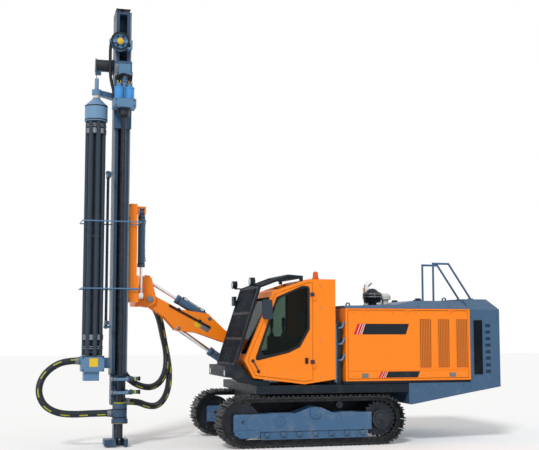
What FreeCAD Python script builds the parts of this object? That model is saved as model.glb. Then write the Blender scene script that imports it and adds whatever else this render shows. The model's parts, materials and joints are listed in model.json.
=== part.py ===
import FreeCAD, Part
import math
import os
import re

import Sketcher

# A crawler drilling rig: two tracks, a deck with a cab and an engine housing, and a boom that holds
# a tall mast with a rotary head, a rod magazine and a dust hood.
# Millimetres. +X is the rear, +Y the right-hand side, +Z up. The ground is z = 0, x = 0 is the middle
# of the tracks and y = 0 lies half way between them.

doc = FreeCAD.newDocument("DrillingRig")
sheet = doc.addObject("Spreadsheet::Sheet", "Sizes")

# Driving sizes: name, value. Names ending in _x, _y or _z are places, the others are sizes.
SIZES = {
    "seat_gap": 0.3,
    "run_gap": 8,

    "track_length": 3000,
    "track_height": 775,
    "track_y": 970,
    "shoe_width": 410,
    "shoe_plate": 16,
    "shoe_gap": 10,
    "shoe_count": 43,
    "grouser_height": 26,
    "grouser_width": 14,
    "link_height": 60,
    "link_width": 150,

    "frame_width": 300,
    "frame_plate": 30,
    "frame_front_x": -1265,
    "frame_rear_x": 941,
    "frame_low_z": 240,
    "frame_top_z": 505,
    "hump_x": 25,
    "hump_half": 330,
    "hump_z": 600,
    "pivot_z": 507,
    "pivot_radius": 90,
    "guard_front_x": -855,
    "guard_rear_x": 900,
    "guard_low_z": 115,
    "rollers": 7,
    "roller_first_x": -743,
    "roller_pitch": 256,
    "roller_z": 194,
    "roller_width": 200,
    "carrier_x": 451,
    "carrier_radius": 56,
    "idler_width": 110,
    "sprocket_width": 60,
    "sprocket_teeth": 23,
    "tooth_depth": 34,
    "hub_radius": 150,

    "deck_front_x": -913,
    "deck_rear_x": 1560,
    "deck_low_z": 800,
    "deck_top_z": 930,
    "deck_half": 1130,
    "belly_half": 560,
    "belly_low_z": 380,
    "cross_tube_radius": 60,
    "cross_beam_x": -560,
    "cross_beam_size": 120,
    "platform_front_x": 480,
    "platform_top_z": 980,
    "platform_plate": 40,
    "tow_x": 1520,
    "tow_y": 400,
    "tow_z": 480,
    "tow_bore": 25,
    "tow_plate": 40,

    "bumper_front_x": -1390,
    "bumper_rear_x": -1148,
    "bumper_top_z": 1226,
    "bumper_low_z": 1063,
    "bumper_left_y": -1100,
    "bumper_right_y": 60,

    "cab_left_y": -1150,
    "cab_right_y": 50,
    "cab_wall": 45,
    "cab_rear_x": 347,
    "cab_kink_x": -83,
    "cab_brow_x": -657,
    "cab_nose_x": -1106,
    "cab_toe_x": -963,
    "cab_keel_x": -158,
    "cab_roof_z": 2555,
    "cab_brow_z": 2363,
    "cab_nose_z": 1312,
    "cab_toe_z": 1046,
    "cab_keel_z": 945,
    "cab_heel_z": 1013,
    "cab_post": 75,
    "door_rear_x": -21,
    "door_inset": 42,
    "door_gap": 6,
    "glass": 6,
    "floor_z": 1110,
    "seat_x": -150,
    "seat_width": 500,

    "beacon_x": 72,
    "beacon_y": -1000,
    "beacon_radius": 57,
    "beacon_height": 126,
    "guard_left_y": -1100,
    "guard_right_y": 50,
    "guard_foot_x": -1240,
    "guard_foot_z": 1250,
    "guard_brow_x": -860,
    "guard_brow_z": 2430,
    "guard_crown_x": -400,
    "guard_crown_z": 2602,
    "guard_end_x": -196,
    "guard_end_z": 2587,
    "guard_tube": 40,
    "guard_bar": 18,
    "guard_bars": 8,
    "lamp_radius": 58,
    "lamp_depth": 75,

    "housing_front_x": 511,
    "housing_rear_x": 2637,
    "housing_half": 1152,
    "housing_low_z": 980,
    "housing_top_z": 2107,
    "housing_wall": 30,
    "hood_half": 900,
    "hood_top_z": 2245,
    "hood_front_z": 2150,
    "hood_ramp_x": 1395,
    "hood_ramp_z": 2172,
    "hood_crest_x": 1775,
    "side_door_front_x": 545,
    "side_door_rear_x": 2605,
    "side_door_low_z": 1010,
    "side_door_top_z": 2085,
    "side_door_thick": 28,
    "knuckle": 10,
    "side_hinge_length": 60,
    "grille_low_z": 1185,
    "grille_top_z": 1935,
    "grille_width": 176,
    "grille_slots": 10,
    "grille_slot": 42,
    "grille_first_x": 1768,
    "grille_pitch": 317,

    "engine_front_x": 1000,
    "engine_rear_x": 2050,
    "engine_half": 380,
    "engine_top_z": 1720,

    "rear_end_x": 3165,
    "rear_side_z": 2100,
    "rear_top_z": 2277,
    "rear_low_z": 861,
    "rear_front_low_z": 778,
    "vent_depth": 40,
    "rear_wall": 70,
    "rear_back_wall": 110,
    "tank_front_x": 1567,
    "tank_low_z": 597,

    "cleaner_x": 1175,
    "cleaner_y": -600,
    "cleaner_radius": 155,
    "cleaner_top_z": 2390,
    "cleaner_stem": 70,
    "stack_x": 1183,
    "stack_y": -300,
    "stack_radius": 42,
    "stack_top_z": 2575,
    "silencer_x": 1427,
    "silencer_y": -520,
    "silencer_radius": 95,
    "silencer_top_z": 2352,
    "rail_left_y": -604,
    "rail_right_y": -176,
    "rail_front_x": 2259,
    "rail_bend_x": 2545,
    "rail_rear_x": 2930,
    "rail_top_z": 2891,
    "rail_tube": 17,

    "cooler_front_x": 385,
    "cooler_rear_x": 475,
    "cooler_left_y": -1060,
    "cooler_right_y": -200,
    "cooler_top_z": 1900,
    "oil_tank_front_x": 130,
    "oil_tank_left_y": 190,
    "oil_tank_top_z": 1650,

    "boom_y": 450,
    "slew_x": -550,
    "slew_post": 110,
    "slew_pin": 60,
    "base_top_z": 1700,
    "base_low_z": 1005,
    "root_x": -820,
    "root_z": 1600,
    "root_radius": 100,
    "cheek": 40,
    "root_width": 240,
    "boom_plate": 25,
    "lift_base_x": -870,
    "lift_base_z": 1130,
    "lift_eye_x": -1850,
    "lift_eye_z": 1800,
    "tilt_base_x": -1330,
    "tilt_base_z": 1955,
    "tilt_eye_x": -2357,
    "tilt_eye_z": 2589,
    "tilt_x": -2330,
    "tilt_z": 2270,
    "head_radius": 90,
    "eye_radius": 52,
    "eye_width": 70,
    "pin_radius": 28,
    "slew_lever": 250,
    "slew_base_x": 40,
    "slew_cylinder_z": 1090,

    "lift_barrel": 66,
    "lift_rod": 36,
    "lift_reach": 540,
    "lift_inside": 345,
    "tilt_barrel": 70,
    "tilt_rod": 28,
    "tilt_reach": 640,
    "tilt_inside": 160,
    "slew_barrel": 48,
    "slew_rod": 26,
    "slew_reach": 345,
    "slew_inside": 85,
    "sway_barrel": 56,
    "sway_rod": 27,
    "sway_reach": 895,
    "sway_inside": 300,
    "sway_x": -2500,
    "sway_y": 150,
    "sway_top_z": 3672,
    "sway_low_z": 2321,

    "yoke_front_x": -2555,
    "yoke_plate": 60,
    "swing_z": 2280,
    "swing_pin": 50,
    "cradle_rear_x": -2565,
    "cradle_plate": 60,
    "cradle_low_z": 2210,
    "cradle_top_z": 3770,
    "cradle_left_y": -95,
    "cradle_right_y": 140,
    "slipper_height": 160,
    "slipper_lip": 45,
    "shift_barrel": 34,
    "shift_rod": 20,
    "shift_x": -2840,
    "shift_low_z": 2400,
    "shift_high_z": 3650,
    "shift_rod_low_z": 1450,
    "shift_rod_high_z": 2560,

    "mast_x": -2870,
    "mast_width": 260,
    "mast_left_y": -150,
    "mast_right_y": 120,
    "mast_web": 20,
    "mast_lip": 70,
    "mast_low_z": 1070,
    "mast_high_z": 6820,
    "finial_z": 6955,
    "drill_y": -350,
    "rod_radius": 38,
    "hammer_radius": 50,
    "hammer_top_z": 760,
    "bit_low_z": 60,
    "jaw_gap": 15,
    "hood_gap": 30,

    "sheave_x": -2932,
    "clamp_z": 6250,
    "sheave_z": 6340,
    "sheave_radius": 148,
    "sheave_width": 80,
    "sheave_flange": 12,
    "sheave_groove": 24,
    "sheave_stand": 25,
    "winch_z": 5970,
    "winch_radius": 92,
    "winch_length": 270,

    "head_low_z": 4950,
    "head_high_z": 6040,
    "carriage_plate": 50,
    "gearbox_low_z": 5237,
    "gearbox_top_z": 5370,
    "gearbox_half": 175,
    "hub_half": 94,
    "hub_low_z": 5097,
    "motor_radius": 68,
    "motor_top_z": 5570,
    "motor_offset": 85,

    "steady_low_z": 823,
    "steady_high_z": 1025,
    "steady_half": 150,
    "steady_height": 60,
    "steady_arm_x": -2560,
    "hood_low_z": 361,
    "hood_high_z": 654,
    "hood_radius": 110,
    "hood_skin": 8,
    "foot_low_z": 10,
    "foot_top_z": 123,
    "foot_front_x": -3107,
    "foot_rear_x": -2751,

    "magazine_x": -3290,
    "magazine_y": -250,
    "magazine_circle": 124,
    "magazine_rods": 7,
    "magazine_radius": 177,
    "magazine_head_z": 5019,
    "magazine_neck_z": 5273,
    "magazine_cone_z": 5387,
    "magazine_tube_z": 5712,
    "magazine_tube": 32,
    "magazine_low_z": 1380,
    "tray_low_z": 1140,
    "tray_top_z": 1373,
    "tray_half": 170,
    "bearing_low_z": 5450,
    "bearing_high_z": 5530,

    "hoop_high_z": 3430,
    "hoop_low_z": 2400,
    "hoop_left_x": -3494,
    "hoop_right_x": -2600,
    "hoop_front_y": -560,
    "hoop_back_y": -55,
    "hoop_tube": 9,

    "arm_x": -3075,
    "arm_y": -120,
    "arm_shaft": 22,
    "arm_length": 230,
    "arm_low_z": 1850,
    "arm_high_z": 4150,
    "arm_height": 60,

    "hose_radius": 52.5,
    "gland_wall": 9,
    "gland_length": 20,
    "suction_y": -190,
    "suction_z": 1300,
    "hood_port_z": 510,
    "bundle_front_x": -2790,
    "bundle_front_y": 190,
    "bundle_front_z": 1370,
    "bundle_rear_z": 655,
    "bundle_end_z": 2280,
    "bundle_front_end_y": 740,
    "bundle_rear_end_y": 880,
    "head_hose_radius": 25,

    "mirror_x": -770,
    "mirror_y": -1250,
    "mirror_z": 2080,
    "mirror_width": 150,
    "mirror_height": 300,
    "mirror_depth": 45,
    "far_mirror_x": -985,
    "far_mirror_z": 2240,
    "far_mirror_size": 150,
    "mirror_arm": 9,
}

for row, (alias, number) in enumerate(SIZES.items(), 1):
    sheet.set(f"A{row}", alias)
    sheet.set(f"B{row}", str(number))
    sheet.setAlias(f"B{row}", alias)
doc.recompute()

WORD = re.compile(r"\b[a-z]+(?:_[a-z]+)*\b")


def named(text):
    """An expression with each size's name pointed at the sheet."""
    return WORD.sub(lambda m: f"Sizes.{m[0]}" if m[0] in SIZES else m[0], str(text))


def value(text):
    """The number that an expression of size names gives now."""
    found = sheet.evalExpression(str(text))
    return float(getattr(found, "Value", found))


def vector(point):
    return FreeCAD.Vector(*[value(text) for text in point])


def span(obj, side, low, high):
    obj.setExpression(side, named(f"({high}) - ({low})"))


def box(x, y, z):
    """A box between two places along each axis."""
    made = doc.addObject("Part::Box", "Box")
    for side, axis, (low, high) in (("Length", "x", x), ("Width", "y", y), ("Height", "z", z)):
        span(made, side, low, high)
        made.setExpression(f"Placement.Base.{axis}", named(low))
    return made


TURNS = {
    "x": FreeCAD.Rotation(FreeCAD.Vector(0, 1, 0), 90),
    "y": FreeCAD.Rotation(FreeCAD.Vector(1, 0, 0), -90),
    "z": FreeCAD.Rotation(),
}


def drum(axis, centre, low, high, radius):
    """A cylinder along an axis, between two places on it. centre gives the other two coordinates."""
    made = doc.addObject("Part::Cylinder", "Drum")
    made.Placement = FreeCAD.Placement(FreeCAD.Vector(), TURNS[axis])
    made.setExpression("Radius", named(radius))
    span(made, "Height", low, high)
    other = list(centre)
    for name in "xyz":
        place = low if name == axis else other.pop(0)
        made.setExpression(f"Placement.Base.{name}", named(place))
    return made


def bar(start, end, width):
    """A square bar between two points."""
    a, b = vector(start), vector(end)
    made = doc.addObject("Part::Box", "Bar")
    gaps = [f"(({q}) - ({p}))^2" for p, q in zip(start, end)]
    made.setExpression("Height", named(f"sqrt({' + '.join(gaps)})"))
    made.setExpression("Length", named(width))
    made.setExpression("Width", named(width))
    turn = FreeCAD.Rotation(FreeCAD.Vector(0, 0, 1), b - a)
    half = value(width) / 2
    made.Placement = FreeCAD.Placement(a - turn.multVec(FreeCAD.Vector(half, half, 0)), turn)
    return made


def tube(start, end, radius):
    """A round bar between two points."""
    a, b = vector(start), vector(end)
    made = doc.addObject("Part::Cylinder", "Tube")
    gaps = [f"(({q}) - ({p}))^2" for p, q in zip(start, end)]
    made.setExpression("Height", named(f"sqrt({' + '.join(gaps)})"))
    made.setExpression("Radius", named(radius))
    made.Placement = FreeCAD.Placement(a, FreeCAD.Rotation(FreeCAD.Vector(0, 0, 1), b - a))
    return made


def draw(sketch, points):
    """A closed outline whose corners are tied to the sheet."""
    places = [(value(u), value(v)) for u, v in points]
    count = len(places)
    for i, here in enumerate(places):
        there = places[(i + 1) % count]
        line = Part.LineSegment(FreeCAD.Vector(*here, 0), FreeCAD.Vector(*there, 0))
        sketch.addGeometry(line, False)
    for i in range(count):
        sketch.addConstraint(Sketcher.Constraint("Coincident", i, 2, (i + 1) % count, 1))
    for i, corner in enumerate(points):
        for kind, text, number in zip(("DistanceX", "DistanceY"), corner, places[i]):
            mark = sketch.addConstraint(Sketcher.Constraint(kind, -1, 1, i, 1, number))
            sketch.setExpression(f"Constraints[{mark}]", named(text))


# Which way a sketch on each plane faces, and the axis that its pad follows.
PLANES = {"XZ": ("XZ_Plane", "y", True), "XY": ("XY_Plane", "z", False), "YZ": ("YZ_Plane", "x", False)}


def plate(plane, points, low, high, rounds=()):
    """An outline on a plane, padded between two places on the third axis.

    rounds lists (corner number, radius) for corners that are rounded.
    """
    role, axis, backwards = PLANES[plane]
    body = doc.addObject("PartDesign::Body", "Plate")
    sketch = body.newObject("Sketcher::SketchObject", "Outline")
    face = next(f for f in body.Origin.OriginFeatures if f.Role == role)
    sketch.AttachmentSupport = (face, "")
    sketch.MapMode = "FlatFace"
    draw(sketch, points)
    pad = body.newObject("PartDesign::Pad", "Pad")
    pad.Profile = sketch
    pad.Reversed = backwards
    span(pad, "Length", low, high)
    if rounds:
        doc.recompute()
        for corner, radius in rounds:
            u, v = (value(text) for text in points[corner])
            base = body.Tip
            names = []
            for number, edge in enumerate(base.Shape.Edges, 1):
                ends = [vertex.Point for vertex in edge.Vertexes]
                flat = [{"XZ": (p.x, p.z), "XY": (p.x, p.y), "YZ": (p.y, p.z)}[plane] for p in ends]
                if len(flat) == 2 and all(math.dist(f, (u, v)) < 0.01 for f in flat):
                    names.append(f"Edge{number}")
            fillet = body.newObject("PartDesign::Fillet", "Round")
            fillet.Base = (base, names)
            fillet.setExpression("Radius", named(radius))
            doc.recompute()
    body.setExpression(f"Placement.Base.{axis}", named(low))
    return body


def turned(points, centre):
    """An outline of (radius, height) corners turned about an upright axis at centre (x, y)."""
    body = doc.addObject("PartDesign::Body", "Turned")
    sketch = body.newObject("Sketcher::SketchObject", "Outline")
    face = next(f for f in body.Origin.OriginFeatures if f.Role == "XZ_Plane")
    sketch.AttachmentSupport = (face, "")
    sketch.MapMode = "FlatFace"
    draw(sketch, points)
    axis = next(f for f in body.Origin.OriginFeatures if f.Role == "Z_Axis")
    spin = body.newObject("PartDesign::Revolution", "Turn")
    spin.Profile = sketch
    spin.ReferenceAxis = (axis, [""])
    spin.Angle = 360
    body.setExpression("Placement.Base.x", named(centre[0]))
    body.setExpression("Placement.Base.y", named(centre[1]))
    return body


def fuse(*parts):
    made = doc.addObject("Part::MultiFuse", "Joined")
    made.Shapes = list(parts)
    made.Refine = True
    return made


def cut(base, *tools):
    made = doc.addObject("Part::Cut", "Cut")
    made.Base = base
    made.Tool = fuse(*tools) if len(tools) > 1 else tools[0]
    made.Refine = True
    return made


def common(base, tool):
    made = doc.addObject("Part::Common", "Shared")
    made.Base = base
    made.Tool = tool
    return made


def group(*parts):
    """Separate solids kept in one sub-part."""
    made = doc.addObject("Part::Compound", "Set")
    made.Links = list(parts)
    return made


def solid(shape, name="Solid"):
    made = doc.addObject("Part::Feature", name)
    made.Shape = shape
    return made


NODES = []


def node(label, part):
    """Names a finished sub-part."""
    part.Label = label
    NODES.append(part)
    return part


SIDES = {"left": -1, "right": 1}


# Tracks


TRACK_RADIUS = "(track_height / 2 - grouser_height - shoe_plate)"
PITCH = f"((2 * (track_length - track_height) + 2 * pi * {TRACK_RADIUS}) / shoe_count)"


def pin_place(distance, radius, half):
    """A pin's place on a track's oval path in the X-Z plane."""
    straight, bend = 2 * half, math.pi * radius
    distance %= 2 * (straight + bend)
    if distance < straight:
        return -half + distance, radius
    distance -= straight
    if distance < bend:
        turn = math.pi / 2 - distance / radius
        return half + radius * math.cos(turn), radius * math.sin(turn)
    distance -= bend
    if distance < straight:
        return half - distance, -radius
    turn = -math.pi / 2 - (distance - straight) / radius
    return -half + radius * math.cos(turn), radius * math.sin(turn)


def track_shape(side):
    """A closed track: a chain of straight links from pin to pin, each with a shoe of three grousers."""
    radius, pitch = value(TRACK_RADIUS), value(PITCH)
    half = value("(track_length - track_height) / 2")
    count = round(value("shoe_count"))
    plate_half = (pitch - value("shoe_gap")) / 2
    thick, rise, lug = value("shoe_plate"), value("shoe_plate + grouser_height"), value("grouser_width") / 2
    slope = lug / 2
    profile = [(-plate_half, -1), (-plate_half, rise), (-plate_half + 2 * lug, rise)]
    profile += [(-plate_half + 2 * lug + slope, thick), (-lug - slope, thick), (-lug, rise)]
    profile += [(-u, v) for u, v in reversed(profile)]
    centre = SIDES[side] * value("track_y")
    wide, chain = value("shoe_width"), value("link_width")
    lift = value("track_height / 2")
    inner = radius - value("link_height")
    shoes, outside, inside = [], [], []
    for number in range(count):
        ends = [pin_place((number + k) * pitch, radius, half) for k in (0, 1)]
        a, b = (FreeCAD.Vector(x, centre - wide / 2, z + lift) for x, z in ends)
        along = (b - a).normalize()
        out = FreeCAD.Vector(-along.z, 0, along.x)
        middle = (a + b) / 2
        corners = [middle + along * u + out * v for u, v in profile]
        face = Part.Face(Part.makePolygon(corners + corners[:1]))
        shoes.append(face.extrude(FreeCAD.Vector(0, wide, 0)))
        outside.append(a)
        x, z = ends[0]
        hub = max(-half, min(half, x))
        shrink = inner / radius
        inside.append(FreeCAD.Vector(hub + (x - hub) * shrink, a.y, z * shrink + lift))
    ring = Part.Face(Part.makePolygon(outside + outside[:1])).cut(Part.Face(Part.makePolygon(inside + inside[:1])))
    ring.translate(FreeCAD.Vector(0, (wide - chain) / 2, 0))
    ring = ring.Faces[0].extrude(FreeCAD.Vector(0, chain, 0))
    return ring.multiFuse(shoes).removeSplitter()


for side in SIDES:
    made = solid(track_shape(side), "Track")
    node(f"track_{side}", made)


# Track frames: two side plates with a raised middle, a box between them and a guard at the rollers

END_X = "(track_length - track_height) / 2"
MIDDLE_Z = "track_height / 2"
# the links run straight between pins, so inside the ends they come closer than the pins do
INNER = f"(({TRACK_RADIUS} - link_height) * cos(90 * {PITCH} / {TRACK_RADIUS} / pi))"
RUN_Z = "(track_height - grouser_height - shoe_plate - link_height)"

FRAME_SIDE = [
    ("frame_front_x", "frame_low_z"),
    ("frame_front_x", "frame_top_z - 25"),
    ("frame_front_x + 25", "frame_top_z"),
    ("hump_x - hump_half", "frame_top_z"),
    ("hump_x - pivot_radius", "hump_z - 12"),
    ("hump_x", "hump_z"),
    ("hump_x + pivot_radius", "hump_z - 12"),
    ("hump_x + hump_half * 0.85", "frame_top_z"),
    ("frame_rear_x", "frame_top_z"),
    ("frame_rear_x", "frame_low_z"),
]
GUARD_SIDE = [
    ("guard_front_x", "frame_low_z + 1"),
    ("guard_front_x + 30", "guard_low_z"),
    ("guard_rear_x - 30", "guard_low_z"),
    ("guard_rear_x", "frame_low_z + 1"),
]
ROLLERS = [f"roller_first_x + {i} * roller_pitch" for i in range(round(value("rollers")))]
ROLLER_RADIUS = "roller_z - (grouser_height + shoe_plate + link_height) - seat_gap"

for side, sign in SIDES.items():
    middle = f"{sign} * track_y"
    parts = []
    for face in (-1, 1):
        low = f"{middle} + {face} * (frame_width - frame_plate) / 2 - frame_plate / 2"
        parts.append(plate("XZ", FRAME_SIDE, low, f"{low} + frame_plate"))
        thin = f"{middle} + {face} * (frame_width / 2 - frame_plate) - 10"
        parts.append(plate("XZ", GUARD_SIDE, thin, f"{thin} + 20"))
    inner = f"{middle} - frame_width / 2 + 5"
    core_front = f"-{END_X} + {INNER} + run_gap"
    core_rear = f"{END_X} - {INNER} - run_gap"
    parts.append(box((core_front, core_rear), (inner, f"{inner} + frame_width - 10"),
                     (f"roller_z + ({ROLLER_RADIUS}) + 20", "frame_top_z - 5")))
    outward = f"{middle} + {sign} * frame_width / 2"
    parts.append(drum("y", ("hump_x", "pivot_z"), f"{outward} - 15", f"{outward} + 15", "pivot_radius"))
    toward = f"{middle} - {sign} * (frame_width - frame_plate) / 2"
    arm = plate("XZ", [("frame_rear_x - 60", "frame_low_z + 20"), ("frame_rear_x - 60", "frame_top_z - 20"),
                       (f"{END_X}", f"{MIDDLE_Z} + hub_radius"), (f"{END_X} + hub_radius", MIDDLE_Z),
                       (f"{END_X}", f"{MIDDLE_Z} - hub_radius")],
                f"{toward} - frame_plate / 2", f"{toward} + frame_plate / 2")
    parts.append(arm)
    bores = [drum("y", (x, "roller_z"), f"{middle} - frame_width", f"{middle} + frame_width",
                  "pin_radius + seat_gap")
             for x in ROLLERS]
    bores.append(drum("y", (f"-{END_X}", MIDDLE_Z), f"{middle} - frame_width", f"{middle} + frame_width",
                      "pin_radius + seat_gap"))
    bores.append(drum("y", ("carrier_x", f"{RUN_Z} - carrier_radius"),
                      f"{middle} - 60", f"{middle} + 60", "carrier_radius + run_gap"))
    frame = cut(fuse(*parts), *bores)
    node(f"track_frame_{side}", frame)

    wheels = []
    for x in ROLLERS:
        wheel = [drum("y", (x, "roller_z"), f"{middle} - roller_width / 2", f"{middle} + roller_width / 2",
                      ROLLER_RADIUS)]
        wheel.append(drum("y", (x, "roller_z"), f"{middle} - frame_width / 2 + 5",
                          f"{middle} + frame_width / 2 - 5",
                          "pin_radius"))
        wheels.append(fuse(*wheel))
    wheel = [drum("y", (f"-{END_X}", MIDDLE_Z), f"{middle} - idler_width / 2", f"{middle} + idler_width / 2",
                  f"{INNER} - seat_gap")]
    wheel.append(drum("y", (f"-{END_X}", MIDDLE_Z), f"{middle} - frame_width / 2",
                      f"{middle} + frame_width / 2",
                      "pin_radius"))
    wheels.append(fuse(*wheel))
    wheels.append(drum("y", ("carrier_x", f"{RUN_Z} - carrier_radius - seat_gap"), f"{middle} - 50",
                       f"{middle} + 50",
                       "carrier_radius"))

    teeth = round(value("sprocket_teeth"))
    tip, root = value(f"{INNER} - seat_gap"), value(f"{INNER} - tooth_depth")
    ring = []
    for number in range(teeth):
        for share, radius in ((-0.36, root), (-0.16, tip), (0.16, tip), (0.36, root)):
            turn = 2 * math.pi * (number + share) / teeth
            ring.append(FreeCAD.Vector(radius * math.cos(turn), 0, radius * math.sin(turn)))
    wide = value("sprocket_width")
    disc = Part.Face(Part.makePolygon(ring + ring[:1])).extrude(FreeCAD.Vector(0, wide, 0))
    disc.translate(FreeCAD.Vector(value(END_X), value(middle) - wide / 2, value(MIDDLE_Z)))
    seat = f"{toward} + {sign} * (frame_plate / 2 + seat_gap)"
    ends = (seat, f"{middle} + {sign} * (frame_width / 2 - 20)")
    drive = drum("y", (END_X, MIDDLE_Z), *(ends if sign > 0 else ends[::-1]), "hub_radius")
    wheels.append(fuse(solid(disc, "Sprocket"), drive))
    node(f"track_wheels_{side}", group(*wheels))


# Chassis: a centre box between the tracks, the cross members, the deck and the engine platform

CENTRE = [
    ("deck_front_x + 60", "deck_low_z + 5"),
    ("deck_front_x + 60", "belly_low_z + 120"),
    ("deck_front_x + 260", "belly_low_z"),
    ("deck_rear_x - 320", "belly_low_z"),
    ("deck_rear_x - 90", "belly_low_z + 180"),
    ("deck_rear_x - 90", "deck_low_z + 5"),
]
frame_inside = "track_y - frame_width / 2 - seat_gap"
pedestal = drum("z", ("slew_x", "boom_y"), "deck_top_z - 5", "base_low_z - seat_gap", "slew_post + 60")
slew_bore = drum("z", ("slew_x", "boom_y"), "deck_low_z", "base_low_z", "slew_pin + 0.1")
SLEW_Y = "boom_y + slew_lever"
ears = []
for low in ("slew_cylinder_z - eye_width / 2 - 35", "slew_cylinder_z + eye_width / 2 + 5"):
    ears.append(box(("slew_base_x - 34", "slew_base_x + 80"), (f"{SLEW_Y} - 50", f"{SLEW_Y} + 50"),
                    (low, f"{low} + 30")))
ears.append(box(("slew_base_x + 60", "slew_base_x + 80"), (f"{SLEW_Y} - 50", f"{SLEW_Y} + 50"),
                ("deck_top_z - 5", "slew_cylinder_z + eye_width / 2 + 35")))
TOW = [
    ("deck_rear_x - 300", "belly_low_z + 15"),
    ("deck_rear_x - 300", "tow_z + 90"),
    ("deck_rear_x - 80", "tow_z + 80"),
    ("tow_x + 40", "tow_z + 40"),
    ("tow_x + 50", "tow_z"),
    ("tow_x + 30", "tow_z - 45"),
    ("tow_x - 60", "tow_z - 60"),
]
tow_eyes = []
for sign in SIDES.values():
    tow_eyes.append(cut(
        plate("XZ", TOW, f"{sign} * tow_y - tow_plate / 2", f"{sign} * tow_y + tow_plate / 2"),
        drum("y", ("tow_x", "tow_z"), f"{sign} * tow_y - tow_plate", f"{sign} * tow_y + tow_plate",
             "tow_bore"),
    ))
chassis = fuse(
    *tow_eyes,
    plate("XZ", CENTRE, "-belly_half", "belly_half"),
    box(("deck_front_x", "deck_rear_x"), ("-deck_half", "deck_half"), ("deck_low_z", "deck_top_z")),
    box(("platform_front_x", "housing_rear_x"), ("-deck_half", "deck_half"),
        ("platform_top_z - seat_gap - platform_plate", "platform_top_z - seat_gap")),
    box(("platform_front_x", "deck_rear_x"), ("-belly_half", "belly_half"),
        ("deck_top_z - 5", "platform_top_z - 20")),
    drum("y", ("hump_x", "pivot_z"), f"-({frame_inside})", frame_inside, "cross_tube_radius"),
    box(("cross_beam_x", "cross_beam_x + cross_beam_size"), (f"-({frame_inside})", frame_inside),
        ("pivot_z - cross_beam_size", "pivot_z - 20")),
    drum("z", ("cab_keel_x", "cab_left_y + 180"), "deck_top_z - 5", "cab_keel_z - seat_gap",
         "cross_tube_radius"),
    drum("z", ("cab_keel_x", "cab_right_y - 180"), "deck_top_z - 5", "cab_keel_z - seat_gap",
         "cross_tube_radius"),
    pedestal,
    *ears,
)
pin_hole = drum("z", ("slew_base_x", SLEW_Y), "slew_cylinder_z - 100", "slew_cylinder_z + 100",
                "pin_radius + 0.05")
node("chassis_frame", cut(chassis, slew_bore, pin_hole))

BUMPER = [
    ("bumper_front_x", "bumper_low_z"),
    ("bumper_front_x", "bumper_top_z"),
    ("bumper_rear_x", "bumper_top_z"),
    ("cab_toe_x - 22", "cab_toe_z - 14"),
    ("cab_toe_x + 263", "cab_toe_z - 56"),
    ("cab_toe_x + 263", "deck_top_z + seat_gap"),
    ("deck_front_x", "deck_top_z + seat_gap"),
    ("bumper_front_x + 318", "bumper_low_z - 42"),
]
node("front_bumper", plate("XZ", BUMPER, "bumper_left_y", "bumper_right_y"))


# Cab: a hollow shell with window openings, panes against its inside, and a door of its own

CAB = [
    ("cab_toe_x", "cab_toe_z"),
    ("cab_nose_x", "cab_nose_z"),
    ("cab_brow_x", "cab_brow_z"),
    ("cab_kink_x", "cab_roof_z"),
    ("cab_rear_x", "cab_roof_z"),
    ("cab_rear_x", "cab_heel_z"),
    ("cab_keel_x", "cab_keel_z"),
]


def outline(points, inset):
    """A free outline in the X-Z plane, moved inwards by inset."""
    sketch = doc.addObject("Sketcher::SketchObject", "Outline")
    sketch.Placement = FreeCAD.Placement(FreeCAD.Vector(), FreeCAD.Rotation(FreeCAD.Vector(1, 0, 0), 90))
    draw(sketch, points)
    if inset is None:
        return sketch
    moved = doc.addObject("Part::Offset2D", "Inset")
    moved.Source = sketch
    moved.setExpression("Value", named(f"-({inset})"))
    moved.Join = "Intersection"
    return moved


def slab(points, inset, low, high):
    """An inset outline, extruded across the machine between two places."""
    doc.recompute()
    made = doc.addObject("Part::Extrusion", "Slab")
    made.Base = outline(points, inset)
    made.DirMode = "Custom"
    made.Dir = FreeCAD.Vector(0, 1, 0)
    span(made, "LengthFwd", low, high)
    made.Solid = True
    made.setExpression("Placement.Base.y", named(low))
    return made


DOOR = [
    ("door_rear_x", "cab_keel_z + 55"),
    ("door_rear_x", "cab_roof_z - door_inset - 13"),
    ("cab_kink_x - 22", "cab_roof_z - door_inset - 13"),
    ("cab_brow_x + 27", "cab_brow_z - door_inset"),
    ("cab_nose_x + 48", "cab_nose_z + 6"),
    ("cab_toe_x + 27", "cab_toe_z + 36"),
    ("cab_keel_x", "cab_keel_z + 38"),
]
WINDOW = [
    ("cab_nose_x + 177", "cab_nose_z + 8"),
    ("cab_brow_x + 66", "cab_brow_z - 104"),
    ("cab_kink_x - 105", "cab_roof_z - 121"),
    ("cab_kink_x - 8", "cab_roof_z - 127"),
    ("cab_kink_x - 8", "cab_nose_z + 475"),
    ("cab_kink_x - 159", "cab_nose_z + 211"),
    ("cab_kink_x - 334", "cab_nose_z + 128"),
]
SCREEN = [
    ("cab_nose_x - 200", "cab_nose_z + 90"),
    ("cab_brow_x - 250", "cab_brow_z - 90"),
    ("cab_brow_x + 60", "cab_brow_z - 90"),
    ("cab_nose_x + 180", "cab_nose_z + 90"),
]
SKYLIGHT = [
    ("cab_brow_x + 110", "cab_roof_z + 60"),
    ("cab_kink_x - 70", "cab_roof_z + 60"),
    ("cab_kink_x - 70", "cab_roof_z - 120"),
    ("cab_brow_x + 110", "cab_brow_z - 50"),
]
across = ("cab_left_y + cab_post", "cab_right_y - cab_post")
wide_across = ("cab_left_y + cab_post - 12", "cab_right_y - cab_post + 12")
rear_window = (("cab_rear_x - 90", "cab_rear_x + 20"), ("cab_left_y + 200", "cab_right_y - 200"),
               ("cab_roof_z - 850", "cab_roof_z - 200"))
hinge_x, hinge_y = "door_rear_x + 6", "cab_left_y - 16"
LEAVES = [("cab_nose_z - 120", "cab_nose_z"), ("cab_roof_z - 330", "cab_roof_z - 210")]


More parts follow.
